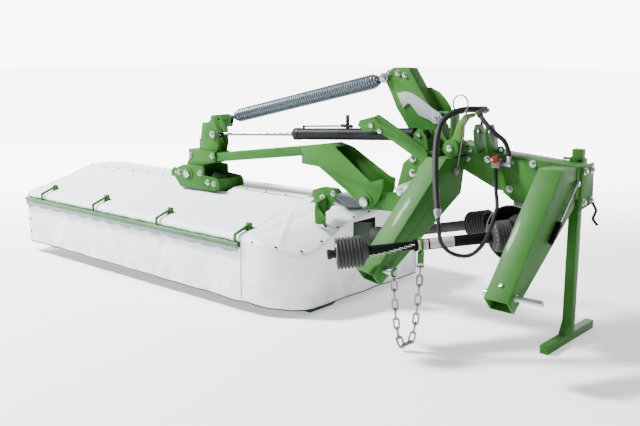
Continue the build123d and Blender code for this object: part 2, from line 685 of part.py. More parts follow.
# ================================================================ relief spring
mast_eye = Vector(spring_mast_x, spring_y, spring_mast_z)
tower_eye = Vector(spring_tower_x, spring_y, spring_tower_z)
spring_run = tower_eye - mast_eye
spring_dir = spring_run.normalized()
with BuildPart() as relief_spring:
    spring_plane = Plane(origin=(mast_eye.X, mast_eye.Y, mast_eye.Z), x_dir=(0, 1, 0), z_dir=spring_dir)
    hook = 90.0
    coil_start = hook + 60
    coil_end = spring_run.length - hook - 60
    pitch = (coil_end - coil_start) / spring_coils
    waist = [(0, hook), (13, hook)]
    waist.append((spring_radius, coil_start))
    for n in range(spring_coils):
        waist.append((spring_radius - 7, coil_start + (n + 0.5) * pitch))
        waist.append((spring_radius, coil_start + (n + 1) * pitch))
    waist.append((13, coil_end + 60))
    waist.append((0, coil_end + 60))
    section_plane = Plane(origin=spring_plane.origin, x_dir=(0, 1, 0),
        z_dir=Vector(0, 1, 0).cross(spring_dir))
    with BuildSketch(section_plane) as section:
        with BuildLine():
            Polyline(*waist, close=True)
        make_face()
    revolve(section.sketch, axis=Axis(spring_plane.origin, spring_plane.z_dir), revolution_arc=360)
    start = mast_eye + spring_dir * 14
    end = mast_eye + spring_dir * (hook + 4)
    rod_between(tuple(start), tuple(end), 9)
    start = mast_eye + spring_dir * (coil_end + 56)
    end = tower_eye + spring_dir * -14
    rod_between(tuple(start), tuple(end), 9)
    rod_y(spring_mast_x, spring_mast_z, 24, spring_y - 8, spring_y + 8)
    rod_y(spring_mast_x, spring_mast_z, 12.4, spring_y - 20, spring_y + 20, Mode.SUBTRACT)
    rod_y(spring_tower_x, spring_tower_z, 22, spring_y - 8, spring_y + 8)
    rod_y(spring_tower_x, spring_tower_z, 12.4, spring_y - 20, spring_y + 20, Mode.SUBTRACT)
save(relief_spring, "relief_spring")

# ================================================================ headstock
beam_rise = 55.0          # how much higher the beam's top is at its left end
beam_knee = 1940.0        # where its slopes end


def beam_outline(inset):
    """The cross beam's front view, set in by a wall."""
    return [
        (beam_left + 1.2 * inset, 1185 + inset), (beam_knee, beam_bottom + inset),
        (beam_right - 1.2 * inset, beam_bottom + inset), (beam_right - 1.2 * inset, beam_end - inset),
        (beam_knee, beam_top - inset), (beam_left + 1.2 * inset, beam_top + beam_rise - inset),
    ]


def beam_roof(x):
    """Height of the cross beam's top, left of its knee."""
    return beam_top + beam_rise * (beam_knee - x) / (beam_knee - beam_left)


with BuildPart() as cross_beam:
    slab_xz(beam_outline(0), beam_front, beam_back)
    slab_xz(beam_outline(beam_wall), beam_front + beam_wall, beam_back - beam_wall, Mode.SUBTRACT)
    # deep plate beside the near leg
    slab_xz([(1990, 1030), (2060, 985), (2322, 945), (2322, 1254),
        (1990, 1270)], beam_front - 12, beam_front)
    block(2286, 2310, beam_front - 60, beam_front - 12, 985, 1040)
    rod_between((2298, beam_front - 60, 1012), (2298, beam_front - 105, 1012), 20)
    rod_y(2298, 1012, 12, beam_front - 120, beam_front - 20, Mode.SUBTRACT)
    # block, lifting eye and bolts
    slab_xz([(1725, beam_roof(1725)), (1800, beam_roof(1800)), (1800, 1384), (1725, 1384)], 130, 190)
    rod_y(1932, beam_roof(1932) + 20, 26, 140, 150)
    rod_y(1932, beam_roof(1932) + 20, 14, 130, 160, Mode.SUBTRACT)
    for x, z in ((1722, 1302), (1708, 1236), (1862, 1246)):
        rod_y(x, z, 13, beam_front - 10, beam_front)
save(cross_beam, "cross_beam")

housing_half = 80.0
leg_splay = 150.0
leg_top = 1250.0


def leg_loft(pin_x, top_x, inset, mode=Mode.ADD):
    """The leg's taper from its pin to its head, set in by a wall."""
    foot = Vector(pin_x, pin_y, pin_z)
    head = Vector(top_x, 60, 1180)
    way = (head - foot).normalized()
    sections = []
    for origin, depth in ((foot - way * (75 + inset), 120), (head + way * 260, 420)):
        with BuildSketch(Plane(origin=tuple(origin), x_dir=(1, 0, 0), z_dir=way)) as section:
            Rectangle(leg_width - 2 * inset, depth - 2 * inset)
        sections.append(section.sketch.face())
    loft(sections, mode=mode)


def leg_form(pin_x, top_x):
    """The leg as one solid, cut off at the cross beam's face and its top."""
    with BuildPart(mode=Mode.PRIVATE) as form:
        leg_loft(pin_x, top_x, 0)
        block(1000, 3000, beam_front, 1500, 0, 2500, Mode.SUBTRACT)
        block(1000, 3000, -1500, 1500, leg_top, 2500, Mode.SUBTRACT)
    return form.part


near_leg_form = leg_form(near_pin_x, near_pin_x + 15)
far_leg_form = leg_form(far_pin_x, far_pin_x + leg_splay)

with BuildPart() as pivot_housing:
    slab_xz([(1205, 816), (1330, 860), (1500, 950), (1530, 1060), (1530, 1284), (1470, 1284),
        (1380, 1272), (1278, 1184), (1222, 980)], -housing_half, housing_half)
    slab_xz([(950, 805), (1210, 816), (1210, 960), (1010, 915), (950, 925)], -lug_half, lug_half)
    rod_y(fold_x, fold_z, 60, -lug_half, lug_half)
    rod_y(fold_x, fold_z, fold_pin_radius, -100, 100, Mode.SUBTRACT)
    add(far_leg_form, mode=Mode.SUBTRACT)
    for side in (-1, 1):
        y_low, y_high = sorted((side * 46, side * 64))
        slab_xz([(1350, 1250), (1480, 1280), (1452, 1392), (1400, 1440), (1352, 1400)], y_low, y_high)
        rod_y(cylinder_x, cylinder_z, 40, y_low, y_high)
    rod_y(cylinder_x, cylinder_z, cylinder_pin_radius + 0.2, -80, 80, Mode.SUBTRACT)
save(pivot_housing, "pivot_housing")

with BuildPart() as cylinder_pin:
    rod_y(cylinder_x, cylinder_z, cylinder_pin_radius - running_gap, -76, 76)
save(cylinder_pin, "cylinder_pin")

mast_low, mast_high = 104.0, 216.0
with BuildPart() as mast:
    mast_outline = [
        (1290, 1290), (1560, 1290), (1440, 1480), (1360, 1600), (1270, 1720), (1180, 1850),
        (1050, 1852), (948, 1800),
        (1030, 1660), (1080, 1560), (1200, 1400),
    ]
    slab_xz(mast_outline, mast_low, mast_high)
    slab_xz([(900, 1700), (1020, 1700), (1020, 1900),
        (900, 1900)], spring_y - 26, spring_y + 26, Mode.SUBTRACT)
    rod_y(spring_mast_x, spring_mast_z, 12, mast_low - 20, mast_high + 20)
    # foot on the housing and against the beam
    block(1290, 1500, housing_half, 218, 1262, 1290)
    block(1500, beam_left, beam_front, 218, 1262, 1290)
    block(1500, beam_left, beam_front, 218, 1190, 1262)
    block(1300, 1500, housing_half, 92, 1190, 1262)
    # bright lever plate in front
    lever = [
        (1091, 1665), (1159, 1680), (1213, 1673), (1258, 1654), (1321, 1619), (1392, 1574),
        (1462, 1540),
        (1485, 1512), (1485, 1483), (1457, 1456), (1413, 1462), (1386, 1482), (1289, 1516),
        (1244, 1558),
        (1216, 1586), (1189, 1600), (1171, 1584), (1150, 1560), (1120, 1610),
    ]
    slab_xz(lever, mast_low - 12, mast_low)
    rod_y(1440, 1498, 30, mast_low - 24, mast_low)
    # bright quarter disc behind
    quarter = [
        (1225, 1706), (1301, 1712), (1374, 1681), (1430, 1633), (1472, 1583), (1490, 1540),
        (1400, 1480),
        (1330, 1560), (1250, 1640),
    ]
    slab_xz(quarter, mast_high, mast_high + 10)
    # shelf between them
    slab_xz([(1394, 1545), (1560, 1545), (1560, 1290), (1540, 1290), (1536, 1536),
        (1394, 1536)], mast_low + 10, mast_high - 10)
save(mast, "mast")

# swing boss on the beam's end, with its curved bracket and its pin
swing_x, swing_z, swing_radius = 1640.0, 1313.0, 62.0
with BuildPart() as swing_boss:
    rod_y(swing_x, swing_z, swing_radius, -34, beam_front)
    bracket = [
        (1600, 1350), (1638, 1395), (1666, 1484), (1720, 1548), (1783, 1563), (1788, 1538),
        (1742, 1520),
        (1708, 1468), (1706, 1400), (1690, 1340),
    ]
    slab_xz(bracket, -2, 40)
    rod_y(swing_x, swing_z, 20, -50, -30)
save(swing_boss, "swing_boss")

# transport lock bar in front of the cylinder
with BuildPart() as lock_bar:
    slab_xz([(1043, 1503), (1072, 1520), (1500, 1300), (1500, 1180), (1440, 1180), (1440, 1215),
        (1140, 1365), (1020, 1410)], -104, -92)
    slab_xz([(896, 1470), (1030, 1505), (1060, 1440), (1000, 1390), (925, 1400),
        (880, 1430)], -104, -92)
    slab_xz([(1450, 1190), (1500, 1190), (1500, 1270), (1450, 1270)], -92, -housing_half)
    slab_xz([(1043, 1503), (1072, 1520), (1500, 1300), (1500, 1286), (1072, 1505),
        (1043, 1490)], -128, -104)
    for x, z in ((1089, 1403), (1010, 1440)):
        rod_y(x, z, 18, -116, -104)
    add(far_leg_form, mode=Mode.SUBTRACT)
save(lock_bar, "lock_bar")

# bright latch and black pads on the housing's front
with BuildPart() as latch:
    latch_y = -housing_half
    slab_xz([(1210, 1000), (1400, 1090), (1420, 1050), (1380, 1000), (1250, 940)], latch_y - 8, latch_y)
    rod_y(1262, 975, 24, latch_y - 22, latch_y - 8)
    rod_between((1262, latch_y - 18, 975), (1330, latch_y - 18, 900), 7)
    rod_between((1330, latch_y - 18, 900), (1372, latch_y - 18, 1010), 7)
    rod_between((1262, latch_y - 18, 975), (1372, latch_y - 18, 1010), 7)
save(latch, "latch")

def headstock_leg(pin_x, top_x, name):
    """A hollow box leg, deep at the cross beam and slender at its pin."""
    with BuildPart() as leg:
        add(leg_form(pin_x, top_x))
        leg_loft(pin_x, top_x, leg_wall, Mode.SUBTRACT)
        with BuildPart(mode=Mode.PRIVATE) as cap:
            add(leg_form(pin_x, top_x))
            block(1000, 3000, -1500, 1500, 0, leg_top - leg_wall, Mode.SUBTRACT)
        add(cap.part)
        rod_x(pin_y, pin_z, lower_shank_radius + 12, pin_x - leg_width / 2 + 2,
            pin_x + leg_width / 2 - 2)
        if pin_x == near_pin_x:
            slab_yz([(20, 1240), (20, 1100), (-60, 960), (-30, 900), (100, 1010),
                (100, 1240)], 2485, 2497)
        rod_x(pin_y, pin_z, lower_shank_radius + running_gap, pin_x - 200, pin_x + 200, Mode.SUBTRACT)
    save(leg, name)


headstock_leg(near_pin_x, near_pin_x + 15, "leg_near")
headstock_leg(far_pin_x, far_pin_x + leg_splay, "leg_far")

stub_cut = {1: 0.0, -1: 42.0}    # the far pin's inner stub is shorter
with BuildPart() as lower_pins:
    for outward, pin_x in ((1, near_pin_x), (-1, far_pin_x)):
        shoulder = pin_x + outward * (leg_width / 2 + 6)
        outer_tip = pin_x + outward * (pin_shift + lower_pin_length / 2)
        inner_tip = outer_tip - outward * lower_pin_length + stub_cut[outward]
        rod_between((inner_tip, pin_y, pin_z), (shoulder, pin_y, pin_z), lower_shank_radius)
        rod_between((shoulder, pin_y, pin_z), (outer_tip, pin_y, pin_z), lower_pin_radius)
save(lower_pins, "lower_pins")

# locking rod with its coil on the near leg, and the stand's pin
with BuildPart() as locking_rods:
    rod_between((2512, 96, 1150), (2512, -137, 925), 8)
    rod_between((2512, -137, 925), (2512, -250, 815), 17)
    block(2485, 2530, -160, -136, 905, 935)
    block(2485, 2530, 76, 96, 1130, 1160)
    add(near_leg_form, mode=Mode.SUBTRACT)
save(locking_rods, "locking_rods")

# end plates of the beam with their hook
with BuildPart() as end_plates:
    slab_yz([(150, 1252), (330, 1258), (345, 985), (150, 960)], beam_right, beam_right + 12)
    rod_between((beam_right + 6, 330, 1010), (beam_right + 46, 330, 940), 9)
    rod_between((beam_right + 46, 330, 940), (beam_right + 24, 330, 880), 9)
    rod_between((beam_right + 24, 330, 880), (beam_right + 60, 330, 842), 9)
save(end_plates, "end_plates")

with BuildPart() as top_link_lugs:
    for side in (-1, 1):
        low = top_link_x + side * 42 - 8
        slab_yz([(20, 1290.3), (180, 1290.3), (150, 1400), (92, 1486), (10, 1486),
            (-14, 1440)], low, low + 16)
    slab_xz(beam_outline(0), beam_front, beam_back, Mode.SUBTRACT)
    rod_x(40, top_link_z, top_link_radius, top_link_x - 100, top_link_x + 100, Mode.SUBTRACT)
save(top_link_lugs, "top_link_lugs")

stub_end = shaft_inner[1] + 80.0
deck_shaft_start = (1868.0, gear_y + 10, gear_z)

# gearbox under the beam with its hanger
with BuildPart() as headstock_gearbox:
    block(gear_x - gear_size / 2, gear_x + gear_size / 2, gear_y - 120, gear_y + 120, gear_z - 120,
        gear_z + 110)
    for x in (gear_x - 100, gear_x + 80):
        block(x, x + 20, gear_y - 60, gear_y + 110, gear_z + 100, beam_bottom)
    rod_y(shaft_inner[0], gear_z, 34, stub_end, gear_y - 120)
    rod_x(deck_shaft_start[1], gear_z, 40, deck_shaft_start[0] + 20, gear_x - gear_size / 2)
    rod_x(deck_shaft_start[1], gear_z, 66, deck_shaft_start[0] + 60, gear_x - gear_size / 2)
    cone_between((gear_x, gear_y - 119, gear_z), (gear_x, gear_y - 250, gear_z), 118, 196)
    cone_between((gear_x, gear_y - 127, gear_z), (gear_x, gear_y - 251, gear_z), 116, 190,
        Mode.SUBTRACT)
    rod_y(gear_x, gear_z, 34, stub_end, gear_y - 120)
save(headstock_gearbox, "headstock_gearbox")

# stored drive shaft: tractor-end bell, telescoping tubes and gearbox-end bell
with BuildPart() as drive_shaft:
    rod_between(on_line(shaft_free, shaft_inner, 0.20), on_line(shaft_free, shaft_inner, 0.50),
        shaft_radius - 7)
    rod_between(on_line(shaft_free, shaft_inner, 0.48), on_line(shaft_free, shaft_inner, 0.91),
        shaft_radius)
    # bell at the free end, open towards the tractor
    rod_between(on_line(shaft_free, shaft_inner, 0.05), on_line(shaft_free, shaft_inner, 0.185),
        bell_radius)
    cone_between(on_line(shaft_free, shaft_inner, 0.185), on_line(shaft_free, shaft_inner, 0.21),
        bell_radius, 56)
    rod_between(on_line(shaft_free, shaft_inner, 0.049), on_line(shaft_free, shaft_inner, 0.175),
        bell_radius - 8, Mode.SUBTRACT)
    rod_between(shaft_free, on_line(shaft_free, shaft_inner, 0.22), shaft_yoke_radius)
    rod_between(on_line(shaft_free, shaft_inner, -0.01), on_line(shaft_free, shaft_inner, 0.06),
        coupling_radius, Mode.SUBTRACT)
    # bell at the gearbox, open towards it
    cone_between(on_line(shaft_free, shaft_inner, 0.90), on_line(shaft_free, shaft_inner, 0.93), 50,
        bell_radius)
    rod_between(on_line(shaft_free, shaft_inner, 0.93), on_line(shaft_free, shaft_inner, 1.03),
        bell_radius)
    rod_between(on_line(shaft_free, shaft_inner, 0.94), on_line(shaft_free, shaft_inner, 1.04),
        bell_radius - 8, Mode.SUBTRACT)
    rod_between(on_line(shaft_free, shaft_inner, 0.9), shaft_inner, 30)
    rod_y(shaft_inner[0], gear_z, 30, shaft_inner[1], stub_end)
    with Locations(shaft_inner):
        Sphere(38)
save(drive_shaft, "drive_shaft")

# shaft from the headstock gearbox to the deck
with BuildPart() as deck_shaft:
    with Locations(deck_shaft_start):
        Sphere(19.7)
    rod_y(deck_shaft_start[0], deck_shaft_start[2], 9, deck_shaft_start[1] - 34,
        deck_shaft_start[1] + 34)
    rod_between(deck_shaft_start, on_line(deck_shaft_start, deck_shaft_end, 0.1), 17)
    rod_between(on_line(deck_shaft_start, deck_shaft_end, 0.03),
        on_line(deck_shaft_start, deck_shaft_end, 0.17), 94)
    cone_between(on_line(deck_shaft_start, deck_shaft_end, 0.17),
        on_line(deck_shaft_start, deck_shaft_end, 0.21), 94, 45)
    rod_between(on_line(deck_shaft_start, deck_shaft_end, 0.18),
        on_line(deck_shaft_start, deck_shaft_end, 0.85), 38)
    cone_between(on_line(deck_shaft_start, deck_shaft_end, 0.82), deck_shaft_end, 42, 66)
save(deck_shaft, "deck_shaft")

# ================================================================ parking stand
half_sleeve = sleeve_size / 2
sleeve_hole = stand_tube / 2 + slide_gap
with BuildPart() as stand_sleeve:
    block(stand_x - half_sleeve, stand_x + half_sleeve, stand_y - half_sleeve, stand_y + half_sleeve,
        beam_bottom - 40, beam_end + 22)
    block(stand_x - sleeve_hole, stand_x + sleeve_hole, stand_y - sleeve_hole, stand_y + sleeve_hole,
        beam_bottom - 60, beam_end + 60, Mode.SUBTRACT)
    rod_x(stand_y - 58, beam_end + 24, 9, stand_x - 80, stand_x + 20)
    block(stand_x - 24, stand_x + 24, stand_y - 72, stand_y - half_sleeve + 1, beam_end - 10,
        beam_end + 40)
    slab_xz(beam_outline(0), beam_front, beam_back, Mode.SUBTRACT)
    block(stand_x - sleeve_hole, stand_x + sleeve_hole, stand_y - sleeve_hole, stand_y + sleeve_hole,
          beam_end - 20, beam_end + 60, Mode.SUBTRACT)
save(stand_sleeve, "stand_sleeve")

with BuildPart() as parking_stand:
    half = stand_tube / 2
    block(stand_x - half, stand_x + half, stand_y - half, stand_y + half, foot_size - 2, stand_top)
    block(stand_x - half + stand_wall, stand_x + half - stand_wall, stand_y - half + stand_wall,
        stand_y + half - stand_wall, foot_size + 10, stand_top - 8, Mode.SUBTRACT)
    block(stand_x - foot_size / 2, stand_x + foot_size / 2, stand_y - foot_length / 2,
        stand_y + foot_length / 2, ground, foot_size)
    slab_yz([(stand_y - half - 62, foot_size - 1), (stand_y - half + 1, foot_size - 1),
        (stand_y - half + 1, foot_size + 110)], stand_x - 28, stand_x + 28)
save(parking_stand, "parking_stand")

# ================================================================ hoses
def bend_radii(route):
    """The radius of each bend: what the shorter run beside it leaves."""
    corners = [Vector(*point) for point in route]
    radii = []
    for before, corner, after in zip(corners, corners[1:], corners[2:]):
        turn = (corner - before).get_angle(after - corner)
        shorter = min((corner - before).length, (after - corner).length)
        radii.append(round(0.45 * shorter / math.tan(math.radians(turn / 2)), 2))
    return radii


def hose(route, radius, name):
    """A round hose along straight runs joined by tangent arcs."""
    radii = bend_radii(route)
    print(name, "bend radii", radii, "smallest allowed", round(6 * radius, 1))
    corners = [Vector(*point) for point in route]
    with BuildPart() as cord:
        with BuildLine() as path:
            here = corners[0]
            for n, bend in enumerate(radii):
                before, corner, after = corners[n], corners[n + 1], corners[n + 2]
                into = (corner - before).normalized()
                out = (after - corner).normalized()
                setback = bend * math.tan(math.radians(into.get_angle(out) / 2))
                start = corner - into * setback
                finish = corner + out * setback
                Line(here, start)
                TangentArc(start, finish, tangent=into)
                here = finish
            Line(here, corners[-1])
        with BuildSketch(Plane(origin=corners[0], z_dir=corners[1] - corners[0])):
            Circle(radius)
        sweep(path=path.wires()[0])
    length = path.wires()[0].length
    print(name, "length", round(length, 1), "volume", round(cord.part.volume), "section x length",
        round(math.pi * radius**2 * length))
    save(cord, name)


sleeve_radius = 21.0
line_radius = 13.0
short_radius = 16.0
hose_start = (1800.0, 72.0, 1583.0)
hose_join = (1850.0, -500.0, 950.0)
short_start = (1858.0, -20.0, 1548.0)
valve_x, valve_y = 1952.0, 48.0
valve_low, valve_high = 1201.0, 1262.0
fitting = (2036.0, 70.0, 1246.0)
bend_place = (1655.0, -290.0, 1357.0)
main_route = [hose_start, (1640, -75, 1601), bend_place, hose_join]
join_way = (Vector(*hose_join) - Vector(*bend_place)).normalized()
lower_route = [
    hose_join, tuple(Vector(*hose_join) + join_way * 100), (1886, -520, 770), (1926, -440, 684),
        (2016, -346, 664),
    (2112, -322, 788), (2154, -296, 974), (2081, -144, 981), (valve_x, valve_y, 1077),
    (valve_x, valve_y, valve_low),
]
short_route = [short_start, (1950, -50, 1462), (2036, 70, 1366), fitting]
hose(main_route, sleeve_radius, "hose_main")
hose(lower_route, line_radius, "hose_lower")
hose(short_route, short_radius, "hose_short")

# ring and shank that carry the hoses, and their clamp on the top link lug
ring_middle = Vector(1698, -15, 1619)
ring_radius = 62.0
ring_side = Vector(0.995, -0.1, 0).normalized()
main_back = (Vector(*hose_start) - Vector(*main_route[1])).normalized()
short_back = (Vector(*short_start) - Vector(*short_route[1])).normalized()
with BuildPart() as hose_holder:
    ring_plane = Plane(origin=ring_middle, x_dir=ring_side, z_dir=ring_side.cross(Vector(0, 0, 1)))
    with BuildLine(ring_plane) as ring_line:
        CenterArc((0, 0), ring_radius, 0, 325)
    with BuildSketch(Plane(origin=ring_line.line @ 0, z_dir=ring_line.line % 0)):
        Circle(5.5)
    sweep(path=ring_line.line)
    top_of_shank = ring_middle + ring_side * ring_radius
    rod_between(tuple(top_of_shank), (1684, -16, 1130), 5.5)
    rod_between(hose_start, tuple(Vector(*hose_start) + main_back * 46), 25)
    rod_between(short_start, tuple(Vector(*short_start) + short_back * 38), 20)
    rod_between((1842, 100, 1578), (1838, -4, 1572), 16)
    block(1804, 1815, 76, 90, 1486, 1570)
    block(1640, 1692, -30, -2, 1140, 1180)
    add(far_leg_form, mode=Mode.SUBTRACT)
save(hose_holder, "hose_holder")

# oil valve on the beam's front, with its knob
with BuildPart() as valve:
    block(valve_x - 24, valve_x + 34, 26, beam_front, valve_low, valve_high)
    rod_y(valve_x + 8, valve_high - 2, 25, 4, 26)
    block(valve_x + 34, 2056, 56, 88, 1214, 1238)
    rod_z(fitting[0], fitting[1], 16, 1214, fitting[2])
save(valve, "valve")

# ================================================================ safety chain
link_wire = 9.0
link_width = 44.0
link_pitch = 66.0
link_count = 16
link_play = 0.4
chain_top = (1603.0, pin_y, 490.0)
hook_share = (1744.0 - shaft_free[0]) / (shaft_inner[0] - shaft_free[0])
hook_point = on_line(shaft_free, shaft_inner, hook_share)
chain_end = (hook_point[0], hook_point[1], 594.0)
chain_span = math.hypot(chain_end[0] - chain_top[0], chain_end[1] - chain_top[1])
chain_rise = chain_end[2] - chain_top[2]
chain_turn = math.degrees(math.atan2(chain_end[1] - chain_top[1], chain_end[0] - chain_top[0]))


def hanging(pull, middle):
    """Slopes of a hanging chain's links, their span and their rise, for a side pull and a lowest link."""
    slopes = [math.atan((n - middle) / pull) for n in range(link_count)]
    return slopes, sum(map(math.cos, slopes)) * link_pitch, sum(map(math.sin, slopes)) * link_pitch


def settle():
    """The slopes with which the chain just spans its two ends."""
    middle_low, middle_high = 0.0, link_count - 1.0
    for _ in range(40):
        middle = (middle_low + middle_high) / 2
        pull_low, pull_high = 0.01, 50.0
        for _ in range(40):
            pull = (pull_low + pull_high) / 2
            if hanging(pull, middle)[1] > chain_span:
                pull_high = pull
            else:
                pull_low = pull
        if hanging(pull, middle)[2] > chain_rise:
            middle_low = middle
        else:
            middle_high = middle
    return hanging(pull, middle)[0]


slopes = settle()
chain_plane = Plane(origin=chain_top, x_dir=Vector(1, 0, 0).rotate(Axis.Z, chain_turn),
    z_dir=Vector(0, -1, 0).rotate(Axis.Z, chain_turn))
turns = [0.0] + [after - before for before, after in zip(slopes, slopes[1:])] + [0.0]
lap = [link_wire / 2 * (1 + math.tan(abs(turn) / 2)) + link_play / 2 / math.cos(turn / 2) for turn in turns]
with BuildPart() as safety_chain:
    across, up = 0.0, 0.0
    for n, slope in enumerate(slopes):
        along = Vector(math.cos(slope), math.sin(slope), 0)
        start = Vector(across, up, 0)
        middle = start + along * ((link_pitch - lap[n] + lap[n + 1]) / 2)
        length = link_pitch + lap[n] + lap[n + 1]
        across += link_pitch * along.X
        up += link_pitch * along.Y
        here = chain_plane.from_local_coords(middle)
        way = chain_plane.from_local_coords(along) - chain_plane.origin
        flat = chain_plane.z_dir if n % 2 == 0 else way.cross(chain_plane.z_dir)
        link_plane = Plane(origin=here, x_dir=way, z_dir=flat)
        with BuildSketch(link_plane.offset(-link_wire / 2)) as ring:
            SlotOverall(length + link_wire, link_width)
            SlotOverall(length - link_wire, link_width - 2 * link_wire, mode=Mode.SUBTRACT)
        extrude(ring.sketch, amount=link_wire)
save(safety_chain, "safety_chain")
drops = [sum(math.sin(a) for a in slopes[:n]) * link_pitch for n in range(link_count)]
print("chain lowest", round(chain_top[2] + min(drops), 1))

# what carries the chain: an eye on the far hitch pin, and a ring with a clevis on the drive shaft
with BuildPart() as chain_eyes:
    rod_x(pin_y, pin_z, 34, 1597, 1609)
    pin_way = Vector(1, 0, 0).rotate(Axis.Z, chain_turn)
    eye_place = Vector(chain_top[0], pin_y, 504)
    with Locations(Location((chain_top[0], pin_y, 520), (0, 0, chain_turn))):
        Box(8, 16, 24)
    rod_between(tuple(eye_place - pin_way * 4), tuple(eye_place + pin_way * 4), 21.5)
    rod_between(tuple(eye_place - pin_way * 5), tuple(eye_place + pin_way * 5), 15.0, Mode.SUBTRACT)
    rod_x(pin_y, pin_z, lower_shank_radius + 0.3, 1580, 1626, Mode.SUBTRACT)
    sag = Vector(0, 0, -5.7)
    shaft_way = (Vector(*shaft_inner) - Vector(*shaft_free)).normalized()
    ring_centre = Vector(*hook_point) + sag
    with Locations(Location((hook_point[0], hook_point[1], 640), (0, 0, chain_turn))):
        Box(44, 26, 104)
    rod_between(tuple(ring_centre - shaft_way * 8), tuple(ring_centre + shaft_way * 8), 57)
    rod_between(tuple(ring_centre - shaft_way * 40), tuple(ring_centre + shaft_way * 40), 43,
        Mode.SUBTRACT)
    with Locations(Location((hook_point[0], hook_point[1], 597), (0, 0, chain_turn))):
        Box(26, 30, 30, mode=Mode.SUBTRACT)
    pin_place = Vector(hook_point[0], hook_point[1], 594 - 5.2)
    rod_between(tuple(pin_place - pin_way * 24), tuple(pin_place + pin_way * 24), 5)
save(chain_eyes, "chain_eyes")
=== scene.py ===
"""Finishes and fine forms of a rear disc mower conditioner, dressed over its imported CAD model."""

import logging
import math
from dataclasses import dataclass
from enum import Enum
from typing import Callable, Sequence

import bmesh
import bpy
from mathutils import Matrix, Vector, noise


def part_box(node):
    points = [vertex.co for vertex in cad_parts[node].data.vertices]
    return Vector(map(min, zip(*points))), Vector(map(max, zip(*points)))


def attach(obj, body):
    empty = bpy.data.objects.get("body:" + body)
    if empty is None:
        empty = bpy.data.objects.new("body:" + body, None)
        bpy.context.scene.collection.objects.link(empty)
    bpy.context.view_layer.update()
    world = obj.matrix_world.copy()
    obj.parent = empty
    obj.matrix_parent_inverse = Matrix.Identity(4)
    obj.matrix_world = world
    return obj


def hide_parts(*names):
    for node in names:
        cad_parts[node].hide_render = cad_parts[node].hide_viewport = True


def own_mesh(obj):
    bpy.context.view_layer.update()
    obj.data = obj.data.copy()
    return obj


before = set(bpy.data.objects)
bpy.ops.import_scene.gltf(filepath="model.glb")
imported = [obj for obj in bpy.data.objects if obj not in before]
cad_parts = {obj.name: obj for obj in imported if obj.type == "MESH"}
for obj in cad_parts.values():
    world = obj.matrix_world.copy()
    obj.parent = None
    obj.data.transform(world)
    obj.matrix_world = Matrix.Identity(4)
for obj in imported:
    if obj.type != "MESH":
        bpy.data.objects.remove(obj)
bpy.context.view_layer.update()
PIN_LOW, PIN_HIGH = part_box("cylinder_pin")
# where the middle of the cylinder pin stands in the machine's own space, in metres
PIN_PLACE = Vector((1.400, 0.0, 1.392))
ORIGIN = (PIN_LOW + PIN_HIGH) / 2 - PIN_PLACE
MM = 0.001
LOG = logging.getLogger("mower")

Point = tuple[float, float, float]
Colour = tuple[float, float, float]
Outline = Sequence[tuple[float, float]]
Piece = bpy.types.Object
Mesh = bmesh.types.BMesh
Socket = bpy.types.NodeSocket


class Body(Enum):
    """The moving bodies that pieces ride on."""

    HEADSTOCK = "headstock"
    CARRIER = "carrier"
    DECK = "deck"
    GUARD = "guard"
    ROTOR = "rotor"
    BARREL = "barrel"
    ROD = "rod"
    SPRING = "spring"
    DECK_SHAFT = "deck_shaft"
    STAND = "stand"


def spot(x: float, y: float, z: float) -> Vector:
    """A place on the machine, given in its own millimetres, as a point of the frame."""
    return Vector((x, y, z)) * MM + ORIGIN


def unit(value: float) -> float:
    """A value kept between 0 and 1."""
    return min(1.0, max(0.0, value))


def on_machine(place: Vector) -> Vector:
    """A point of the frame in the machine's own millimetres."""
    return (place - ORIGIN) / MM


# ------------------------------------------------------------------ finishes
class Reading:
    """A value in a material that can be reckoned with in Python."""

    def __init__(self, tree: bpy.types.NodeTree, socket: Socket) -> None:
        """Holds one output socket of a node tree."""
        self.tree = tree
        self.socket = socket

    def _reckon(self, operation: str, other: "Reading | float", turned: bool = False) -> "Reading":
        """Adds one Math node.

        Args:
            operation: what the node does.
            other: the second value.
            turned: whether the second value comes first.

        Returns:
            The node's result.
        """
        node = self.tree.nodes.new("ShaderNodeMath")
        node.operation = operation
        for place, value in zip(node.inputs, (other, self) if turned else (self, other)):
            if isinstance(value, Reading):
                self.tree.links.new(value.socket, place)
            else:
                place.default_value = value
        return Reading(self.tree, node.outputs[0])

    def __add__(self, other: "Reading | float") -> "Reading":
        """The sum."""
        return self._reckon("ADD", other)

    __radd__ = __add__

    def __sub__(self, other: "Reading | float") -> "Reading":
        """The difference."""
        return self._reckon("SUBTRACT", other)

    def __rsub__(self, other: float) -> "Reading":
        """The difference from a number."""
        return self._reckon("SUBTRACT", other, True)

    def __mul__(self, other: "Reading | float") -> "Reading":
        """The product."""
        return self._reckon("MULTIPLY", other)

    __rmul__ = __mul__

    def clipped(self, low: float, high: float) -> "Reading":
        """The share of the way from low to high, kept between 0 and 1.

        Args:
            low: where the share is 0.
            high: where it is 1.

        Returns:
            The share.
        """
        node = self.tree.nodes.new("ShaderNodeMapRange")
        node.interpolation_type = "SMOOTHSTEP"
        self.tree.links.new(self.socket, node.inputs[0])
        node.inputs[1].default_value = low
        node.inputs[2].default_value = high
        return Reading(self.tree, node.outputs[0])


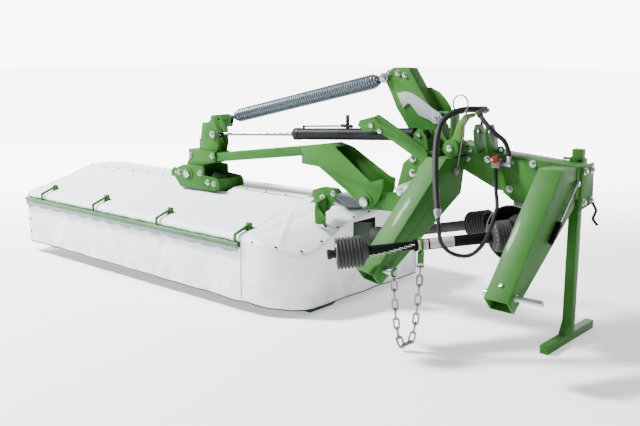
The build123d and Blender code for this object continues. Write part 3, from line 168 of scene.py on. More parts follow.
class Recipe:
    """One material under construction."""

    def __init__(self, name: str) -> None:
        """Starts a material with a plain shader.

        Args:
            name: the material's name.
        """
        self.material = bpy.data.materials.new(name)
        self.material.use_nodes = True
        self.tree = self.material.node_tree
        self.shader = self.tree.nodes["Principled BSDF"]
        self.here = self.node("ShaderNodeTexCoord").outputs["Object"]

    def node(self, kind: str, settings: dict | None = None, sockets: dict | None = None) -> bpy.types.Node:
        """Adds a node.

        Args:
            kind: the node's type.
            settings: its own properties.
            sockets: values or links of its inputs, by name or number.

        Returns:
            The node.
        """
        made = self.tree.nodes.new(kind)
        for key, value in (settings or {}).items():
            setattr(made, key, value)
        for key, value in (sockets or {}).items():
            self.feed(made.inputs[key], value)
        return made

    def feed(self, place: Socket, value: object) -> None:
        """Gives an input a link or a value.

        Args:
            place: the input.
            value: a reading, a socket or a plain value.
        """
        if isinstance(value, Reading):
            self.tree.links.new(value.socket, place)
        elif isinstance(value, Socket):
            self.tree.links.new(value, place)
        else:
            place.default_value = value

    def cloud(self, scale: float, detail: float = 3.0, stretch: Point | None = None) -> Reading:
        """Noise in the piece's own space.

        Args:
            scale: lumps in a metre.
            detail: how many finer layers it has.
            stretch: how much each direction is scaled first.

        Returns:
            Its value, about 0.5 in the middle.
        """
        place = self.here
        if stretch is not None:
            place = self.node("ShaderNodeMapping", None, {"Vector": place, "Scale": stretch}).outputs[0]
        found = self.node("ShaderNodeTexNoise", None, {"Vector": place, "Scale": scale, "Detail": detail})
        return Reading(self.tree, found.outputs[0])

    def cells(self, scale: float) -> Reading:
        """The distance to the middle of the nearest cell."""
        found = self.node("ShaderNodeTexVoronoi", None, {"Vector": self.here, "Scale": scale})
        return Reading(self.tree, found.outputs[0])

    def part(self, source: Socket, axis: int) -> Reading:
        """One coordinate of a vector."""
        return Reading(self.tree, self.node("ShaderNodeSeparateXYZ", None, {0: source}).outputs[axis])

    def blend(self, share: Reading, first: object, second: object) -> Socket:
        """A mix of two colours."""
        return self.node("ShaderNodeMix", {"data_type": "RGBA"}, {0: share, 6: first, 7: second}).outputs[2]

    def raise_by(self, height: Reading, depth: float, strength: float) -> None:
        """Gives the surface a relief of so many metres.

        Args:
            height: the relief, from 0 to 1.
            depth: how deep it is, in metres.
            strength: how much of it shows.
        """
        bump = self.node("ShaderNodeBump", None, {"Height": height, "Distance": depth, "Strength": strength})
        if self.shader.inputs["Normal"].is_linked:
            self.tree.links.new(self.shader.inputs["Normal"].links[0].from_socket, bump.inputs["Normal"])
        self.tree.links.new(bump.outputs[0], self.shader.inputs["Normal"])

    def set(self, **values: object) -> "Recipe":
        """Sets the shader's own sockets by their names, with _ for a space.

        Args:
            values: a link or a value for each socket.

        Returns:
            The recipe itself.
        """
        for key, value in values.items():
            self.feed(self.shader.inputs[key.replace("_", " ")], value)
        return self


def solid(colour: Colour) -> tuple[float, float, float, float]:
    """An opaque colour."""
    return (*colour, 1.0)


DUST, CHIP, GRIME = solid((0.20, 0.23, 0.17)), solid((0.10, 0.095, 0.08)), solid((0.09, 0.075, 0.06))
SOIL, SMEAR, WEAR = solid((0.36, 0.35, 0.28)), solid((0.46, 0.48, 0.46)), solid((0.05, 0.048, 0.043))


@dataclass(frozen=True)
class Paint:
    """Sprayed enamel with dust on its upper faces and a few chips."""

    name: str
    colour: Colour
    roughness: float = 0.36
    dust: float = 0.09
    chips: float = 0.7

    def make(self) -> bpy.types.Material:
        """Makes the material.

        Returns:
            The material.
        """
        mix = Recipe(self.name)
        broad, fine, speck = mix.cloud(2.2, 4.0), mix.cloud(38.0, 4.0), mix.cloud(95.0, 2.0)
        upward = mix.part(mix.node("ShaderNodeTexCoord").outputs["Normal"], 2).clipped(0.3, 1.0)
        dust = (upward * self.dust + 0.05) * broad.clipped(0.35, 0.75)
        chip = (speck * 0.7 + fine * 0.3).clipped(0.735, 0.75) * self.chips
        shade = tuple(part * 0.78 for part in self.colour)
        tone = mix.blend(broad.clipped(0.3, 0.7), solid(shade), solid(self.colour))
        tone = mix.blend(dust, tone, DUST)
        tone = mix.blend(chip, tone, CHIP)
        rough = fine * 0.16 + dust * 0.5 + (self.roughness + 0.06)
        mix.set(Base_Color=tone, Roughness=rough, Coat_Weight=0.02, Specular_IOR_Level=0.12)
        mix.raise_by(fine, 0.0006, 0.25)
        mix.raise_by(mix.cloud(260.0, 1.0), 0.0002, 0.3)
        return mix.material


@dataclass(frozen=True)
class Metal:
    """Bare or plated metal with clouding, fine scratches and grime."""

    name: str
    colour: Colour
    roughness: float = 0.3
    spangle: float = 0.15
    grime: float = 0.35

    def make(self) -> bpy.types.Material:
        """Makes the material.

        Returns:
            The material.
        """
        mix = Recipe(self.name)
        fine, patch = mix.cloud(60.0, 4.0), mix.cells(110.0)
        stain = mix.cloud(7.0, 5.0).clipped(0.52, 0.78) * self.grime
        dull = tuple(part * (1 - self.spangle) for part in self.colour)
        tone = mix.blend(patch.clipped(0.1, 0.7), solid(self.colour), solid(dull))
        tone = mix.blend(stain, tone, GRIME)
        rough = fine * 0.2 + stain * 0.4 + (self.roughness - 0.1)
        mix.set(Base_Color=tone, Metallic=1.0 - stain * 0.6, Roughness=rough)
        mix.raise_by(mix.cloud(300.0, 2.0, (1.0, 1.0, 0.15)), 0.0003, 0.25)
        return mix.material


@dataclass(frozen=True)
class Moulding:
    """Plastic or rubber with a fine grain and pale dust."""

    name: str
    colour: Colour
    roughness: float = 0.45
    grain: float = 240.0
    dust: float = 0.3

    def make(self) -> bpy.types.Material:
        """Makes the material.

        Returns:
            The material.
        """
        mix = Recipe(self.name)
        broad, fine = mix.cloud(9.0, 5.0), mix.cloud(self.grain, 2.0)
        dust = broad.clipped(0.45, 0.8) * self.dust
        pale = tuple(part * 0.5 + 0.05 for part in self.colour)
        tone = mix.blend(dust, solid(self.colour), solid(pale))
        rough = dust * 0.5 + fine * 0.15 + (self.roughness - 0.07)
        mix.set(Base_Color=tone, Roughness=rough, Specular_IOR_Level=0.05)
        mix.raise_by(fine, 0.0005, 0.35)
        return mix.material


@dataclass(frozen=True)
class Tarpaulin:
    """Coated cloth: woven scrim under a soft sheen, slack wrinkles, and soil towards the hem."""

    name: str
    colour: Colour
    soil: float = 0.45

    def make(self) -> bpy.types.Material:
        """Makes the material.

        Returns:
            The material.
        """
        mix = Recipe(self.name)
        height = mix.part(mix.here, 2)
        broad, patch = mix.cloud(1.1, 3.0), mix.cloud(6.0, 5.0)
        low = (1.0 - height.clipped(0.06, 0.42)) * patch.clipped(0.36, 0.66) * self.soil
        shade = tuple(part * 0.9 for part in self.colour)
        tone = mix.blend(broad.clipped(0.3, 0.7), solid(shade), solid(self.colour))
        tone = mix.blend(low, tone, SOIL)
        tone = mix.blend(mix.cloud(17.0, 6.0).clipped(0.62, 0.9) * 0.35, tone, SMEAR)
        mix.set(Base_Color=tone, Roughness=patch * 0.16 + 0.42, Coat_Weight=0.08)
        mix.raise_by(mix.cloud(3.2, 3.0, (1.0, 1.0, 0.45)), 0.03, 0.35)
        mix.raise_by(mix.cloud(11.0, 2.0, (1.0, 1.0, 0.6)), 0.008, 0.3)
        across = mix.node("ShaderNodeTexWave", {"bands_direction": "X"}, {"Vector": mix.here, "Scale": 90.0})
        down = mix.node("ShaderNodeTexWave", {"bands_direction": "Z"}, {"Vector": mix.here, "Scale": 90.0})
        weave = Reading(mix.tree, across.outputs[1]) * Reading(mix.tree, down.outputs[1])
        mix.raise_by(weave, 0.0004, 0.3)
        return mix.material


@dataclass(frozen=True)
class Braid:
    """Woven sleeve or wire-laid rubber round a hose."""

    name: str
    colour: Colour
    lay: float

    def make(self) -> bpy.types.Material:
        """Makes the material.

        Returns:
            The material.
        """
        mix = Recipe(self.name)
        knots, wear = mix.cells(self.lay), mix.cloud(14.0, 4.0)
        pale = tuple(part * 2.4 + 0.006 for part in self.colour)
        tone = mix.blend(knots.clipped(0.2, 0.75), solid(pale), solid(self.colour))
        tone = mix.blend(wear.clipped(0.55, 0.85) * 0.35, tone, WEAR)
        mix.set(Base_Color=tone, Roughness=wear * 0.2 + 0.42, Specular_IOR_Level=0.22)
        mix.raise_by(1.0 - knots, 0.0012, 0.6)
        return mix.material


class Finish(Enum):
    """Every finish on the machine, with the record's slot that it belongs to."""

    LEAF = ("green_paint", Paint("leaf_enamel", (0.022, 0.115, 0.012)))
    RAIL = ("green_paint", Paint("pale_leaf_enamel", (0.070, 0.170, 0.060), dust=0.2))
    # SHADE is the green paint darkened as painted shade, for parts that sit in shade
    SHADE = ("green_paint", Paint("green_enamel_painted_shade", (0.008, 0.036, 0.010)))
    LIME = ("green_paint", Paint("lime_enamel", (0.060, 0.175, 0.022)))
    GREY = ("steel", Paint("silver_enamel", (0.27, 0.29, 0.31), roughness=0.42, dust=0.12, chips=0.3))
    # BROWN colours the faces of the cross beam that look down, in a darker brown than the leaf green
    BROWN = ("green_paint", Paint("underside_brown_enamel", (0.090, 0.070, 0.040), roughness=0.55))
    RED = ("black_plastic", Paint("red_knob", (0.26, 0.006, 0.006), roughness=0.3, dust=0.1))
    GLOSS_BLACK = ("black_paint", Paint("black_enamel", (0.006, 0.008, 0.010), roughness=0.3, dust=0.02,
                                        chips=0.1))
    ZINC = ("zinc", Metal("bright_zinc", (0.42, 0.45, 0.47)))
    COIL = ("zinc", Metal("spring_zinc", (0.150, 0.182, 0.205), roughness=0.36))
    STEEL = ("steel", Metal("worn_steel", (0.22, 0.225, 0.22), roughness=0.38, grime=0.6))
    CHROME = ("chrome", Metal("chromed_rod", (0.20, 0.205, 0.21), roughness=0.2, spangle=0.02, grime=0.1))
    IRON = ("cast_iron", Metal("cast_iron", (0.07, 0.072, 0.075), roughness=0.55, grime=0.5))
    PLASTIC = ("black_plastic", Moulding("black_moulding", (0.003, 0.003, 0.0035), roughness=0.4, dust=0.05))
    RUBBER = ("black_rubber", Moulding("black_rubber", (0.002, 0.002, 0.0024), roughness=0.55, grain=150.0,
                                       dust=0.04))
    LABEL = ("black_plastic", Moulding("blank_plate", (0.42, 0.39, 0.36), roughness=0.4, dust=0.15))
    CLOTH = ("tarpaulin", Tarpaulin("white_tarpaulin", (0.80, 0.83, 0.87)))
    # SHADOW_CLOTH is the white cloth darkened to grey as painted shadow, for flaps and strips that stand in
    # shade
    SHADOW_CLOTH = ("tarpaulin", Tarpaulin("tarpaulin_painted_shadow", (0.15, 0.18, 0.22), soil=0.3))
    PIPING = ("green_paint", Moulding("teal_piping", (0.012, 0.066, 0.050), roughness=0.5, dust=0.1))
    SLEEVE = ("black_rubber", Braid("woven_sleeve", (0.005, 0.005, 0.006), 420.0))
    HOSE = ("black_rubber", Braid("hose_rubber", (0.004, 0.004, 0.005), 700.0))

    @property
    def slot(self) -> str:
        """The record's material slot."""
        return self.value[0]

    def material(self) -> bpy.types.Material:
        """The material, made the first time that it is asked for."""
        recipe = self.value[1]
        return bpy.data.materials.get(recipe.name) or recipe.make()


# ------------------------------------------------------------------ shop work
def shown(name: str, mesh: Mesh, sharp: float = 32.0) -> Piece:
    """Turns a mesh into an object that stands at the frame's origin.

    Args:
        name: the piece's name.
        mesh: its shape, which is used up.
        sharp: edges that bend more than this, in degrees, stay crisp.

    Returns:
        The object.
    """
    data = bpy.data.meshes.new(name)
    mesh.to_mesh(data)
    mesh.free()
    data.shade_smooth()
    data.set_sharp_from_angle(angle=math.radians(sharp))
    piece = bpy.data.objects.new(name, data)
    bpy.context.scene.collection.objects.link(piece)
    return piece


def fit(piece: Piece, finish: Finish, body: Body | str, replaces: Sequence[str] = ()) -> Piece:
    """Finishes a piece and puts it on its body.

    Args:
        piece: the object.
        finish: its first finish.
        body: what it rides on.
        replaces: the CAD nodes that it stands for.

    Returns:
        The same object.
    """
    if not piece.data.materials:
        piece.data.materials.append(finish.material())
    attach(piece, body.value if isinstance(body, Body) else body)
    if replaces:
        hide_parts(*replaces)
    LOG.info("%s rides on %s", piece.name, body)
    return piece


def aimed(place: Vector, way: Vector) -> Matrix:
    """The turn and move that bring the Z axis onto a direction at a place."""
    return Matrix.Translation(place) @ way.to_track_quat("Z", "Y").to_matrix().to_4x4()


def spun(part: Mesh, geometry: list, angle: float, steps: int, climb: float = 0.0) -> None:
    """Sweeps geometry round the Z axis, up by so many metres a step; a level sweep is a closed turn."""
    bmesh.ops.spin(part, geom=geometry, cent=(0, 0, 0), axis=(0, 0, 1), angle=angle, steps=steps,
                   dvec=(0, 0, climb), use_merge=climb == 0.0)


def section(part: Mesh, reach: float, radius: float, facets: int, capped: bool) -> list:
    """Adds an upright circle beside the Z axis, in millimetres, and gives its parts.

    Args:
        part: the mesh that it joins.
        reach: how far its middle lies from the axis.
        radius: its own radius.
        facets: how many sides it has.
        capped: whether it is filled.

    Returns:
        Its points, edges and faces.
    """
    place = Matrix.Translation((reach * MM, 0, 0)) @ Matrix.Rotation(math.pi / 2, 4, "X")
    made = bmesh.ops.create_circle(part, cap_ends=capped, segments=facets, radius=radius * MM, matrix=place)
    return made["verts"] + part.edges[:] + part.faces[:]


def raised(part: Mesh, faces: list, way: Vector) -> list:
    """Extrudes faces along a direction and gives the new corners.

    Args:
        part: the mesh.
        faces: what is extruded.
        way: how far and where to.

    Returns:
        The new corners.
    """
    grown = bmesh.ops.extrude_face_region(part, geom=faces)
    corners = [item for item in grown["geom"] if isinstance(item, bmesh.types.BMVert)]
    bmesh.ops.translate(part, vec=way, verts=corners)
    return corners


def softened(part: Mesh, edges: list, width: float, clamped: bool = False) -> None:
    """Rounds edges by so many millimetres."""
    bmesh.ops.bevel(part, geom=edges, offset=width * MM, segments=2, profile=0.5, affect="EDGES",
                    clamp_overlap=clamped, material=-1)


def rod(length: float, radius: float) -> Outline:
    """The outline of a plain round pin, in millimetres."""
    return [(0, 0), (0, radius), (length, radius), (length, 0)]


class Fittings:
    """Small turned and forged parts that make up one piece."""

    def __init__(self, name: str) -> None:
        """Starts an empty piece."""
        self.name = name
        self.mesh = bmesh.new()

    def take(self, part: Mesh, matrix: Matrix) -> None:
        """Moves a part into place and adds it; the part is used up.

        Args:
            part: the part.
            matrix: where it goes.
        """
        bmesh.ops.recalc_face_normals(part, faces=part.faces)
        bmesh.ops.transform(part, matrix=matrix, verts=part.verts)
        store = bpy.data.meshes.new("part")
        part.to_mesh(store)
        part.free()
        self.mesh.from_mesh(store)
        bpy.data.meshes.remove(store)

    def turned(self, start: Vector, end: Vector, outline: Outline, steps: int = 32) -> None:
        """Adds a part turned on a lathe.

        Args:
            start: where its axis starts.
            end: a point that its axis runs towards.
            outline: its outline, as millimetres along the axis and millimetres of radius.
            steps: how many facets it has round.
        """
        part = bmesh.new()
        row = [part.verts.new((radius * MM, 0, length * MM)) for length, radius in outline]
        edges = [part.edges.new(pair) for pair in zip(row, row[1:])]
        spun(part, row + edges, math.tau, steps)
        bmesh.ops.remove_doubles(part, verts=part.verts, dist=1e-6)
        self.take(part, aimed(start, end - start))

    def bolt(self, place: Vector, way: Vector, across: float, height: float = 0.0,
             washer: bool = True) -> None:
        """Adds a hexagon bolt head on a washer.

        Args:
            place: the middle of its seat.
            way: the direction that its head faces.
            across: its width in millimetres.
            height: its height in millimetres, or 0 for the usual one.
            washer: whether a washer lies under it.
        """
        tall = (height or across * 0.62) * MM
        part = bmesh.new()
        bmesh.ops.create_circle(part, cap_ends=True, segments=6, radius=across / math.sqrt(3) * MM)
        top = raised(part, part.faces[:], Vector((0, 0, tall)))
        rim = [edge for edge in part.edges if all(vert in top for vert in edge.verts)]
        softened(part, rim, across * 0.08)
        base = across * 0.12 if washer else 0.0
        if washer:
            self.turned(place, place + way, rod(base, across * 0.95), 24)
        self.take(part, aimed(place + way.normalized() * base * MM, way))

    def hoop(self, place: Vector, way: Vector, radius: float, gauge: float, steps: int = 32) -> None:
        """Adds a ring of round wire.

        Args:
            place: its middle.
            way: the direction of its axis.
            radius: its middle radius in millimetres.
            gauge: the wire's radius in millimetres.
            steps: how many facets it has round.
        """
        part = bmesh.new()
        spun(part, section(part, radius, gauge, 10, False), math.tau, steps)
        bmesh.ops.remove_doubles(part, verts=part.verts, dist=1e-6)
        self.take(part, aimed(place, way))

    def slab(self, corners: Sequence[Vector], depth: Vector, soften: float = 1.0) -> None:
        """Adds a flat plate.

        Args:
            corners: its outline.
            depth: its thickness, as a direction with a length.
            soften: the bevel of its edges in millimetres.
        """
        part = bmesh.new()
        face = part.faces.new([part.verts.new(corner) for corner in corners])
        raised(part, [face], depth)
        softened(part, part.edges[:], soften)
        self.take(part, Matrix.Identity(4))

    def done(self, finish: Finish, body: Body | str, replaces: Sequence[str] = ()) -> Piece:
        """Makes the piece, finished and on its body."""
        return fit(shown(self.name, self.mesh), finish, body, replaces)


def wire(name: str, points: Sequence[Vector], radius: float, finish: Finish, body: Body) -> Piece:
    """A bent wire, strip edge or piping.

    Args:
        name: the piece's name.
        points: what it runs along.
        radius: its radius in millimetres.
        finish: its finish.
        body: what it rides on.

    Returns:
        The piece.
    """
    curve = bpy.data.curves.new(name, "CURVE")
    curve.dimensions = "3D"
    curve.bevel_depth = radius * MM
    curve.bevel_resolution = 3
    curve.use_fill_caps = True
    line = curve.splines.new("POLY")
    line.points.add(len(points) - 1)
    for knot, place in zip(line.points, points):
        knot.co = (*place, 1)
    piece = bpy.data.objects.new(name, curve)
    bpy.context.scene.collection.objects.link(piece)
    return fit(piece, finish, body)


# ------------------------------------------------------------------ CAD parts with broken edges
Span = tuple[float, float]
Test = Callable[[Vector, Vector], bool]
LOW, HIGH = -math.inf, math.inf


@dataclass(frozen=True)
class Casting:
    """A CAD part whose edges are broken and whose regions are finished apart."""

    node: str
    body: Body | str
    finish: Finish
    edge: float = 3.0
    others: tuple[tuple[Test, Finish], ...] = ()
    swell: float = 0.0

    def build(self) -> Piece:
        """Makes the piece that stands for the CAD part.

        Returns:
            The piece.
        """
        mesh = bmesh.new()
        mesh.from_mesh(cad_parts[self.node].data)
        bmesh.ops.remove_doubles(mesh, verts=mesh.verts, dist=2e-5)
        bmesh.ops.dissolve_limit(mesh, angle_limit=math.radians(1.5), verts=mesh.verts, edges=mesh.edges)
        mesh.normal_update()
        if self.swell:
            for vert in mesh.verts:
                vert.co += vert.normal * self.swell * MM
        crisp = [edge for edge in mesh.edges
                 if len(edge.link_faces) == 2 and edge.calc_face_angle(0.0) > math.radians(34)]
        softened(mesh, crisp, self.edge, True)
        bmesh.ops.dissolve_degenerate(mesh, edges=mesh.edges, dist=1e-6)
        piece = shown(f"{self.node}_finished", mesh)
        for finish in (self.finish, *(other for _, other in self.others)):
            piece.data.materials.append(finish.material())
        for face in piece.data.polygons:
            middle = on_machine(face.center)
            for number, (test, _) in enumerate(self.others, start=1):
                if test(middle, face.normal):
                    face.material_index = number
        return fit(piece, self.finish, self.body, (self.node,))


def within(x: Span = (LOW, HIGH), y: Span = (LOW, HIGH), z: Span = (LOW, HIGH)) -> Test:
    """A test for the faces that lie between limits.

    Args:
        x: the limits along the machine, in its millimetres.
        y: the limits across the deck.
        z: the limits in height.

    Returns:
        The test, which takes the middle of a face and its normal.
    """

    def holds(place: Vector, _: Vector) -> bool:
        """Whether the face lies between the limits."""
        return all(low < value < high for value, (low, high) in zip(place, (x, y, z)))

    return holds


def looks_down(_: Vector, normal: Vector) -> bool:
    """A test for the faces that look at the ground."""
    return normal.z < -0.55


def round_cone(place: Vector, _: Vector) -> bool:
    """A test for the gearbox's front above and below its cone."""
    return place.y < 71.5 and abs(place.z - 788) > 40


def castings() -> list[Casting]:
    """Every CAD part that keeps its own shape, with its finishes.

    Returns:
        The parts, in the order in which they are built.
    """
    head, carrier, deck, barrel = Body.HEADSTOCK, Body.CARRIER, Body.DECK, Body.BARREL
    # shade is the green paint in painted shade: it darkens the parts under the covers and the zones that sit
    # in shade
    leaf, shade, zinc, steel = Finish.LEAF, Finish.SHADE, Finish.ZINC, Finish.STEEL
    black, moulded, iron = Finish.GLOSS_BLACK, Finish.PLASTIC, Finish.IRON
    mast = ((within(y=(LOW, 103.9)), Finish.GREY), (within(y=(216.1, HIGH)), Finish.GREY),
            (within((1394, 1561), (110, HIGH), (1544, HIGH)), Finish.RAIL))
    boss = ((within(z=(1378, HIGH)), Finish.LIME), (within(y=(LOW, -35)), zinc))
    lock_end = ((within((LOW, 1110), (LOW, -110), (LOW, 1470)), zinc),)
    handle = ((within(y=(LOW, -130), z=(LOW, 940)), moulded),)
    valve = ((within(y=(LOW, 25.5)), Finish.RED), (within((1987, HIGH)), zinc))
    knives = ((within(z=(LOW, 104.2)), steel),)
    made = [
        Casting("cross_beam", head, leaf, 4.0, ((looks_down, Finish.BROWN),)),
        Casting("pivot_housing", head, leaf, 5.0),
        Casting("cylinder_pin", head, zinc, 2.0),
        Casting("mast", head, leaf, 3.0, mast),
        Casting("swing_boss", head, leaf, 4.0, boss),
        Casting("lock_bar", head, leaf, 2.0, lock_end),
        Casting("latch", head, zinc, 1.5),
        Casting("leg_near", head, leaf, 3.0),
        Casting("leg_far", head, leaf, 3.0),
        Casting("lower_pins", head, zinc, 3.0),
        Casting("locking_rods", head, zinc, 1.5, handle),
        Casting("end_plates", head, leaf, 2.0, ((within((2518, HIGH)), black),)),
        Casting("top_link_lugs", head, leaf, 2.0),
        Casting("headstock_gearbox", head, iron, 5.0, ((round_cone, moulded),)),
        Casting("stand_sleeve", head, leaf, 3.0),
        Casting("hose_holder", head, steel, 1.5, ((within((1775, HIGH), z=(1500, HIGH)), shade),)),
        Casting("valve", head, iron, 2.5, valve),
        Casting("chain_eyes", head, leaf, 1.5),
        Casting("carrier_beam", carrier, leaf, 5.0),
        Casting("carrier_elbow", carrier, leaf, 4.0),
        Casting("yoke_saddle", carrier, leaf, 5.0),
        Casting("tower", carrier, leaf, 2.5),
        Casting("carrier_pins", carrier, zinc, 3.0),
        Casting("cutter_bar", deck, shade, 3.0),
        Casting("skids", deck, steel, 3.0),
        # the deck frame's near plate, beyond x 600 and below z 640, takes the painted shade so that it reads
        # dark below the near cover
        Casting("deck_frame", deck, leaf, 3.0, ((within((600, HIGH), z=(LOW, 640)), shade),)),
        Casting("yoke_pin", deck, zinc, 3.0),
        Casting("conditioner_hood", deck, shade, 2.0),
        Casting("deck_gearbox", deck, iron, 5.0),
        Casting("deck_bracket", deck, leaf, 2.0),
        Casting("guard_hinges", deck, leaf, 2.0),
        Casting("guard_rail", Body.GUARD, Finish.RAIL, 2.0, ((within(z=(560, HIGH)), leaf),)),
        Casting("conditioner_rotor", Body.ROTOR, shade, 1.5),
        Casting("cylinder_barrel", barrel, black, 2.0),
        Casting("barrel_pipe", barrel, black, 1.5, ((within(z=(1458, HIGH)), steel),)),
        Casting("cylinder_rod", Body.ROD, Finish.CHROME, 1.5),
        Casting("parking_stand", Body.STAND, leaf, 2.5),
        Casting("safety_chain", head, steel, 1.6, swell=2.6),
    ]
    return made + [Casting(f"disc_{n}", f"disc_{n}", shade, 1.5, knives) for n in range(1, 9)]


# ------------------------------------------------------------------ cloth
def along(outline: Outline, share: float) -> tuple[float, float]:
    """The point a share of the way along an outline.

    Args:
        outline: its points.
        share: the share of its whole length.

    Returns:
        Both coordinates of the point.
    """
    steps = [math.dist(a, b) for a, b in zip(outline, outline[1:])]
    left = share * sum(steps)
    for (a, b), step in zip(zip(outline, outline[1:]), steps):
        if left <= step:
            part = left / step
            return a[0] + (b[0] - a[0]) * part, a[1] + (b[1] - a[1]) * part
        left -= step
    return outline[-1]


def slack(x: float, y: float, z: float, depth: float) -> float:
    """How far loose cloth stands off at a place, in millimetres; a smooth lumpy field.

    Args:
        x: the first coordinate, in lumps.
        y: the second.
        z: the third.
        depth: how deep the lumps are.

    Returns:
        The distance, out or in.
    """
    broad = noise.noise(Vector((x, y, z)))
    fine = noise.noise(Vector((x * 2.3 + 7, y * 2.3, z * 2.3 + 3)))
    return depth * (broad + 0.45 * fine)


def height_on(line: Outline, y: float) -> float:
    """The height of a bent line at a place across the deck.

    Args:
        line: its points, as place and height.
        y: the place.

    Returns:
        The height.
    """
    for (y_low, z_low), (y_high, z_high) in zip(line, line[1:]):
        if y <= y_high:
            return z_low + (z_high - z_low) * max(0.0, y - y_low) / (y_high - y_low)
    return line[-1][1]


def crease(x: float, middle: float, width: float) -> float:
    """The height, from 0 to 1, of a soft fold round a line."""
    return math.exp(-((x - middle) / width) ** 2)


Surface = Callable[[float, float], Vector]


@dataclass(frozen=True)
class Fold:
    """A soft fold that runs slantwise through cloth."""

    lean: float
    middle: float
    width: float
    depth: float

    def height(self, x: float, across: float) -> float:
        """How far it stands up at a place."""
        return self.depth * crease(x + self.lean * across, self.middle, self.width)


@dataclass(frozen=True)
class Window:
    """A straight-sided opening in cloth, between two corners in machine millimetres."""

    low: Point
    high: Point

    def cut(self, mesh: Mesh) -> None:
        """Cuts the cloth along the opening's sides and takes out what lies inside.

        Args:
            mesh: the cloth.
        """
        low, high = spot(*self.low), spot(*self.high)
        margin = Vector((0.05, 0.05, 0.05))

        def near(vert: bmesh.types.BMVert) -> bool:
            """Whether a point of the cloth lies in or close to the opening."""
            return all(a - m <= c <= b + m for a, c, b, m in zip(low, vert.co, high, margin))

        for axis in range(3):
            for corner in (low, high):
                faces = [face for face in mesh.faces if all(near(vert) for vert in face.verts)]
                edges = {edge for face in faces for edge in face.edges}
                verts = {vert for face in faces for vert in face.verts}
                way = Vector([1.0 if n == axis else 0.0 for n in range(3)])
                bmesh.ops.bisect_plane(mesh, geom=[*faces, *edges, *verts], plane_co=corner, plane_no=way)
        inside = [face for face in mesh.faces
                  if all(a < c < b for a, c, b in zip(low, face.calc_center_median(), high))]
        bmesh.ops.delete(mesh, geom=inside, context="FACES")


@dataclass(frozen=True)
class Cloth:
    """One sheet of the covers."""

    name: str
    node: str
    body: Body
    held: str
    rests_on: tuple[str, ...]
    columns: int
    rows: int
    flat: tuple[float, float]
    place: Surface
    windows: tuple[Window, ...] = ()
    soften: int = 0
    area: float | None = None
    finish: Finish = Finish.CLOTH
    thick: float = 2.5

    def build(self) -> tuple[Piece, list[Vector]]:
        """Makes the sheet.

        Returns:
            The piece, and the points of its lower edge.
        """
        mesh = bmesh.new()
        bmesh.ops.create_grid(mesh, x_segments=self.columns, y_segments=self.rows, size=0.5)
        lower = [vert for vert in mesh.verts if vert.co.y < -0.4999]
        lower.sort(key=lambda vert: vert.co.x)
        for vert in mesh.verts:
            vert.co = self.place(vert.co.x + 0.5, vert.co.y + 0.5)
        inner = [vert for vert in mesh.verts if not vert.is_boundary]
        for _ in range(self.soften):
            bmesh.ops.smooth_vert(mesh, verts=inner, factor=0.5, use_axis_x=True, use_axis_y=True,
                                  use_axis_z=True)
        hem = [vert.co.copy() for vert in lower]
        for window in self.windows:
            window.cut(mesh)
        bmesh.ops.remove_doubles(mesh, verts=mesh.verts, dist=1e-5)
        LOG.info("%s measures %.3f square metres", self.name, sum(face.calc_area() for face in mesh.faces))
        piece = shown(self.name, mesh, 60.0)
        skin = piece.modifiers.new("thickness", "SOLIDIFY")
        skin.thickness = self.thick * MM
        skin.offset = -1.0
        fit(piece, self.finish, self.body, (self.node,) if self.node else ())
        return piece, hem


DOWN, UP, FRONT = Vector((0, 0, -1)), Vector((0, 0, 1)), Vector((0, -1, 0))
BACK, NEAR = -FRONT, Vector((1, 0, 0))

# along the machine: the covers' far end, the joint with the near cover, its end, and the guard's arms
FAR, NEAR_JOINT, NEAR_END = -2780.0, 235.0, 700.0
ARMS = (-2490.0, -1650.0, -750.0, 190.0)
# outlines across the deck, as place and height: the top cover from its lip to the back, and what the
# end walls hang from
RIDGE = ((-699.0, 545.0), (-700.0, 574.0), (-692.0, 588.0), (-673.0, 600.0), (40.0, 790.0), (200.0, 798.0),
         (450.0, 773.0), (984.0, 628.0))
WALL_TOP = ((-720.0, 588.0), (-673.0, 588.0), (40.0, 778.0), (200.0, 786.0), (450.0, 762.0), (984.0, 616.0))
# the near cover's roof: the place across the deck, the height at the joint, and the fall to the near end
NEAR_ROOF = ((-701.0, 556.0, 226.0), (-673.0, 599.0, 240.0), (40.0, 791.0, 142.0), (450.0, 774.0, 85.0),
             (984.0, 629.0, 0.0))


